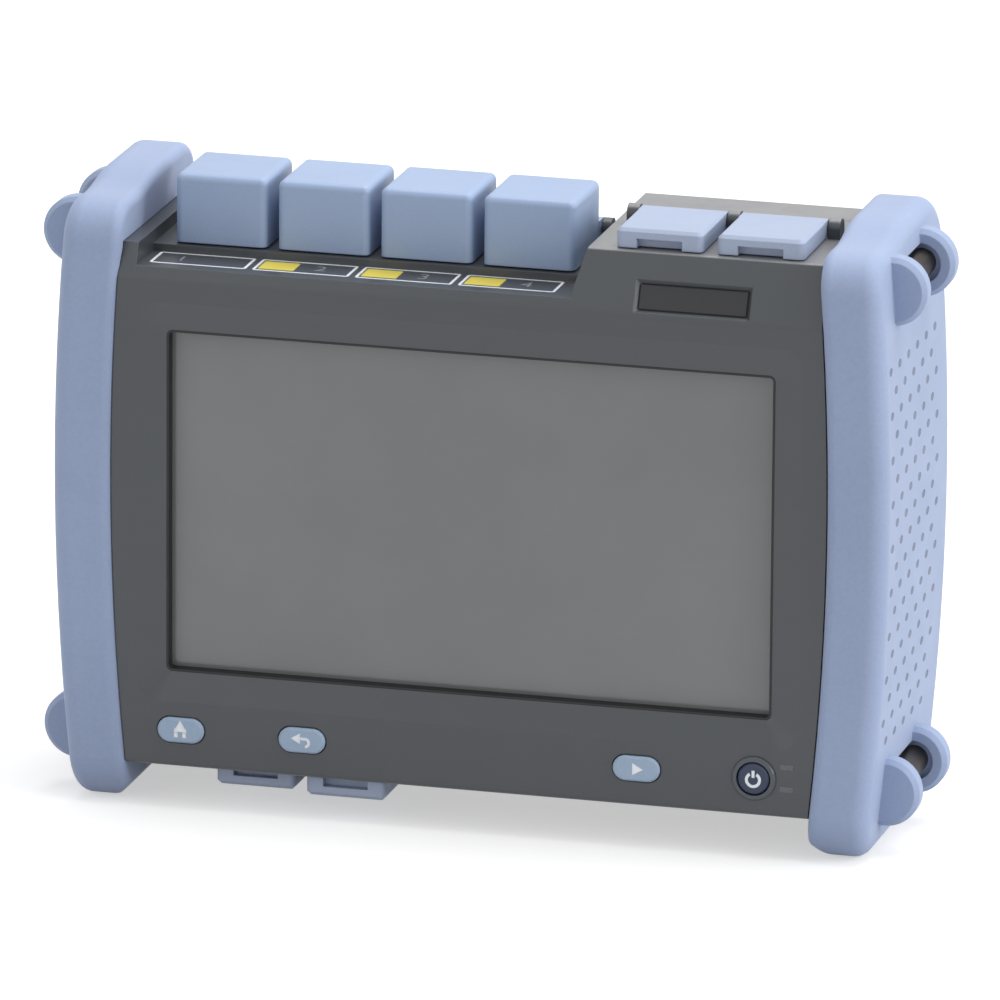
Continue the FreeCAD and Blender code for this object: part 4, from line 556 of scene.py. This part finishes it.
def lay_on_face(shape, x, y, z):
    """Stand a flat print up on a front face: its x runs along X and its y along Z."""
    bmesh.ops.transform(shape, verts=shape.verts, matrix=Matrix.Translation((x, y, z))
                        @ Matrix.Rotation(math.pi / 2, 4, "X"))


def turned_piece(name, centre, profile, base, turns, material):
    """A closed profile turned once round Z, or along a thread for some turns."""
    shape = bmesh.new()
    points = [shape.verts.new(centre + Vector((radius, 0, base + height)))
              for radius, height in profile]
    edges = [shape.edges.new((points[index - 1], points[index])) for index in range(len(points))]
    bmesh.ops.spin(
        shape, geom=points + edges, cent=centre, axis=(0, 0, 1),
        angle=math.tau * max(turns, 1), steps=TURN_STEPS * max(turns, 1),
        dvec=(0, 0, THREAD_PITCH / TURN_STEPS if turns else 0), use_merge=not turns)
    finish_piece(name, shape, material)


# ---------------------------------------------------------------- print


def print_port_frames():
    """White frames on the strip before the caps, with numbers and plain colour marks."""
    for number in PORTS:
        centre = Vector((middle(f"dust_cap_{number}").x - FRAME_LEFT, FACE_Y + FRAME_BACK,
                         STRIP_TOP))
        shape = bmesh.new()
        add_frame(shape, FRAME_WIDE, FRAME_TALL, FRAME_LINE, PRINT, FRAME_ROUND)
        bmesh.ops.translate(shape, verts=shape.verts, vec=centre)
        finish_piece(f"port_frame_{number}", shape, WHITE_INK)
        aside = NUMBER_ALONE_X
        if number in MARKED_PORTS:
            aside = NUMBER_BY_MARK_X
            shape = bmesh.new()
            add_plate(shape, -MARK_LEFT, 0, MARK_WIDE, MARK_TALL, PRINT, MARK_ROUND)
            bmesh.ops.translate(shape, verts=shape.verts, vec=centre)
            finish_piece(f"port_colour_mark_{number}", shape, YELLOW_INK)
        print_number(f"port_number_{number}", str(number), centre + Vector((aside, 0, 0)))


def print_number(name, words, centre):
    """A plain number that lies on the strip."""
    curve = bpy.data.curves.new(name, "FONT")
    curve.body = words
    curve.size = NUMBER_TALL
    curve.extrude = PRINT / 2
    curve.align_x = "CENTER"
    curve.align_y = "CENTER"
    item = bpy.data.objects.new(name, curve)
    bpy.context.scene.collection.objects.link(item)
    bpy.context.view_layer.update()
    mesh = bpy.data.meshes.new_from_object(item)
    bpy.data.objects.remove(item)
    shape = bmesh.new()
    shape.from_mesh(mesh)
    bmesh.ops.translate(shape, verts=shape.verts, vec=centre + Vector((0, 0, PRINT / 2)))
    finish_piece(name, shape, DIM_INK)


def print_key_signs():
    """Printed signs on the keys: a house, a return arrow, a start triangle, a power mark."""
    house = bmesh.new()
    for side in SIDES:
        add_plate(house, 1.1 * side * MM, -0.7 * MM, 1.0 * MM, 2.2 * MM, PRINT)
    add_plate(house, 0, 0.2 * MM, 3.0 * MM, 1.0 * MM, PRINT_SECOND)
    add_point(house, 0, 0.7 * MM, 2.1 * MM, PRINT_THIRD, POINTS_UP)
    place_sign(house, "home_key")

    arrow = bmesh.new()
    add_plate(arrow, 0.2 * MM, 0.6 * MM, 2.0 * MM, SIGN_LINE, PRINT)
    add_arc(arrow, 1.0 * MM, -0.4 * MM, 1.0 * MM, SIGN_LINE, PRINT_SECOND, -math.pi / 2, math.pi)
    add_point(arrow, -1.1 * MM, 0.6 * MM, 1.7 * MM, PRINT_THIRD, POINTS_LEFT)
    place_sign(arrow, "back_key")

    start = bmesh.new()
    add_point(start, 0, 0, 1.9 * MM, PRINT, POINTS_RIGHT)
    place_sign(start, "auto_key")

    power = bmesh.new()
    add_arc(power, 0, -0.2 * MM, 1.7 * MM, SIGN_LINE, PRINT, math.pi / 2 + POWER_GAP / 2,
            math.tau - POWER_GAP)
    add_plate(power, 0, 1.3 * MM, SIGN_LINE, 1.9 * MM, PRINT_SECOND)
    place_sign(power, "power_key")


def place_sign(shape, key):
    """A sign on the front of a key, which it rides on."""
    centre = middle(key)
    lay_on_face(shape, centre.x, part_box(key)[0].y, centre.z)
    finish_piece(key.replace("_key", "_sign"), shape, SIGN_INK, body=key)


# ---------------------------------------------------------------- screws, ports and contacts


def add_screw_sockets():
    """Dark six-sided sheets in the heads of the screws on the back, as painted shade standing for
    their sockets.
    """
    low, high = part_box("housing_screws")
    back = high.y
    places = [(x, z) for x in (low.x + CORNER_HEAD, high.x - CORNER_HEAD)
              for z in (low.z + CORNER_HEAD, high.z - CORNER_HEAD)]
    low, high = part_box("lid_screws")
    head = high.z / 2 - low.z / 2
    places += [(x, middle("lid_screws").z) for x in (low.x + head, high.x - head)]
    for number, (x, z) in enumerate(places, start=1):
        shape = bmesh.new()
        bmesh.ops.create_cone(shape, cap_ends=True, segments=6, radius1=SOCKET_RADIUS,
                              radius2=SOCKET_RADIUS, depth=PRINT)
        lay_on_face(shape, x, back, z)
        finish_piece(f"painted_socket_shade_{number}", shape, FINISHES["socket"])


def add_port_details():
    """Threads and white ferrule sleeves on the optical ports, and the meter's window."""
    for number in ADAPTERS:
        name = f"fibre_adapter_{number}"
        centre = Vector((middle(name).x, middle(name).y, 0))
        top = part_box(name)[1].z
        turned_piece(f"ferrule_sleeve_{number}", centre, SLEEVE, top - SLEEVE_DOWN, 0, CERAMIC)
        turned_piece(f"port_thread_{number}", centre, THREAD, top - THREAD_DOWN, THREAD_TURNS,
                     FINISHES["port_metal"])
    centre = middle("power_meter_port")
    shape = bmesh.new()
    bmesh.ops.create_cone(shape, cap_ends=True, segments=WINDOW_SIDES, radius1=WINDOW_RADIUS,
                          radius2=WINDOW_RADIUS, depth=WINDOW_THICK)
    bmesh.ops.translate(shape, verts=shape.verts, vec=(
        centre.x, centre.y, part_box("power_meter_port")[1].z - WINDOW_DOWN))
    finish_piece("detector_window", shape, DETECTOR)


def add_contacts():
    """Gold contacts in the network jack and on the tongues of the flat sockets."""
    for kind, (count, pitch, width, tall, behind, inside, opens) in CONTACTS.items():
        name = f"{kind}_socket"
        shape = bmesh.new()
        for index in range(count):
            add_plate(shape, (index - (count - 1) / 2) * pitch * MM, 0, width * MM, tall * MM,
                      CONTACT_THICK)
        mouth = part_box(name)[1 if opens > 0 else 0].z
        lay_on_face(shape, middle(name).x, middle(name).y + behind * MM,
                    mouth - (inside + tall / 2) * opens * MM)
        finish_piece(f"{kind}_contacts", shape, GOLD)


print_port_frames()
print_key_signs()
add_screw_sockets()
add_port_details()
add_contacts()


# ---------------------------------------------------------------- studio


def area_light(name, place, size, power):
    """A soft square lamp, aimed at the instrument."""
    lamp = bpy.data.lights.new(name, "AREA")
    lamp.shape = "SQUARE"
    lamp.size = size
    lamp.energy = power
    item = bpy.data.objects.new(name, lamp)
    item.location = place
    item.rotation_euler = (Vector(LAMP_AIM) - Vector(place)).to_track_quat("-Z", "Y").to_euler()
    bpy.context.scene.collection.objects.link(item)


def seen_directly(tree):
    """One for rays that come from the camera, from gloss or through glass."""
    path = node(tree, "LightPath")
    direct = maths(tree, "MAXIMUM", path.outputs["Is Camera Ray"], path.outputs["Is Glossy Ray"])
    return maths(tree, "MAXIMUM", direct, path.outputs["Is Transmission Ray"])


def set_world():
    """White where it is seen, and a plain soft level of light elsewhere."""
    world = bpy.data.worlds.new("studio")
    bpy.context.scene.world = world
    world.use_nodes = True
    tree = world.node_tree
    strength = ramp(tree, seen_directly(tree), 0.0, 1.0, AMBIENT, 1.0)
    tree.links.new(strength, tree.nodes["Background"].inputs["Strength"])
    tree.nodes["Background"].inputs["Color"].default_value = WHITE


def add_floor():
    """A wide pale floor that shows as white and keeps the shadow."""
    shape = bmesh.new()
    bmesh.ops.create_grid(shape, x_segments=1, y_segments=1, size=FLOOR_HALF)
    mesh = bpy.data.meshes.new("floor")
    shape.to_mesh(mesh)
    shape.free()
    floor = bpy.data.objects.new("floor", mesh)
    floor.location = (0, 0, FLOOR_TOP)
    bpy.context.scene.collection.objects.link(floor)
    material = bpy.data.materials.new("pale_floor")
    material.use_nodes = True
    tree = material.node_tree
    surface = tree.nodes["Principled BSDF"]
    surface.inputs["Base Color"].default_value = (FLOOR_GREY, FLOOR_GREY, FLOOR_GREY, 1)
    surface.inputs["Roughness"].default_value = 0.9
    surface.inputs["Specular IOR Level"].default_value = 0.0
    surface.inputs["Emission Color"].default_value = WHITE
    tree.links.new(ramp(tree, seen_directly(tree), 0.0, 1.0, 0.0, FLOOR_LIFT),
                   surface.inputs["Emission Strength"])
    mesh.materials.append(material)


def add_camera(azimuth, elevation, roll, distance, lens, right, up):
    """A long lens that looks at the middle of the display window, moved a little."""
    target = Vector((0, FACE_Y, middle("touch_glass").z))
    turn, lift = math.radians(azimuth), math.radians(elevation)
    away = Vector((math.sin(turn) * math.cos(lift), -math.cos(turn) * math.cos(lift),
                   math.sin(lift)))
    camera = bpy.data.cameras.new("camera")
    camera.lens = lens
    camera.sensor_width = 36
    camera.clip_end = 30
    item = bpy.data.objects.new("camera", camera)
    look = (-away).to_track_quat("-Z", "Y").to_matrix() @ Matrix.Rotation(
        math.radians(roll), 3, "Z")
    target += look @ Vector((right, up, 0))
    item.matrix_world = Matrix.Translation(target + away * distance) @ look.to_4x4()
    bpy.context.scene.collection.objects.link(item)
    bpy.context.scene.camera = item


set_world()
add_floor()
for lamp_name, (place, size, power) in LAMPS.items():
    area_light(lamp_name, place, size, power)
add_camera(azimuth=15.02, elevation=15.56, roll=0.43, distance=3.49, lens=500.6,
           right=8.5 * MM, up=6.7 * MM)
bpy.context.scene.view_settings.view_transform = "Standard"
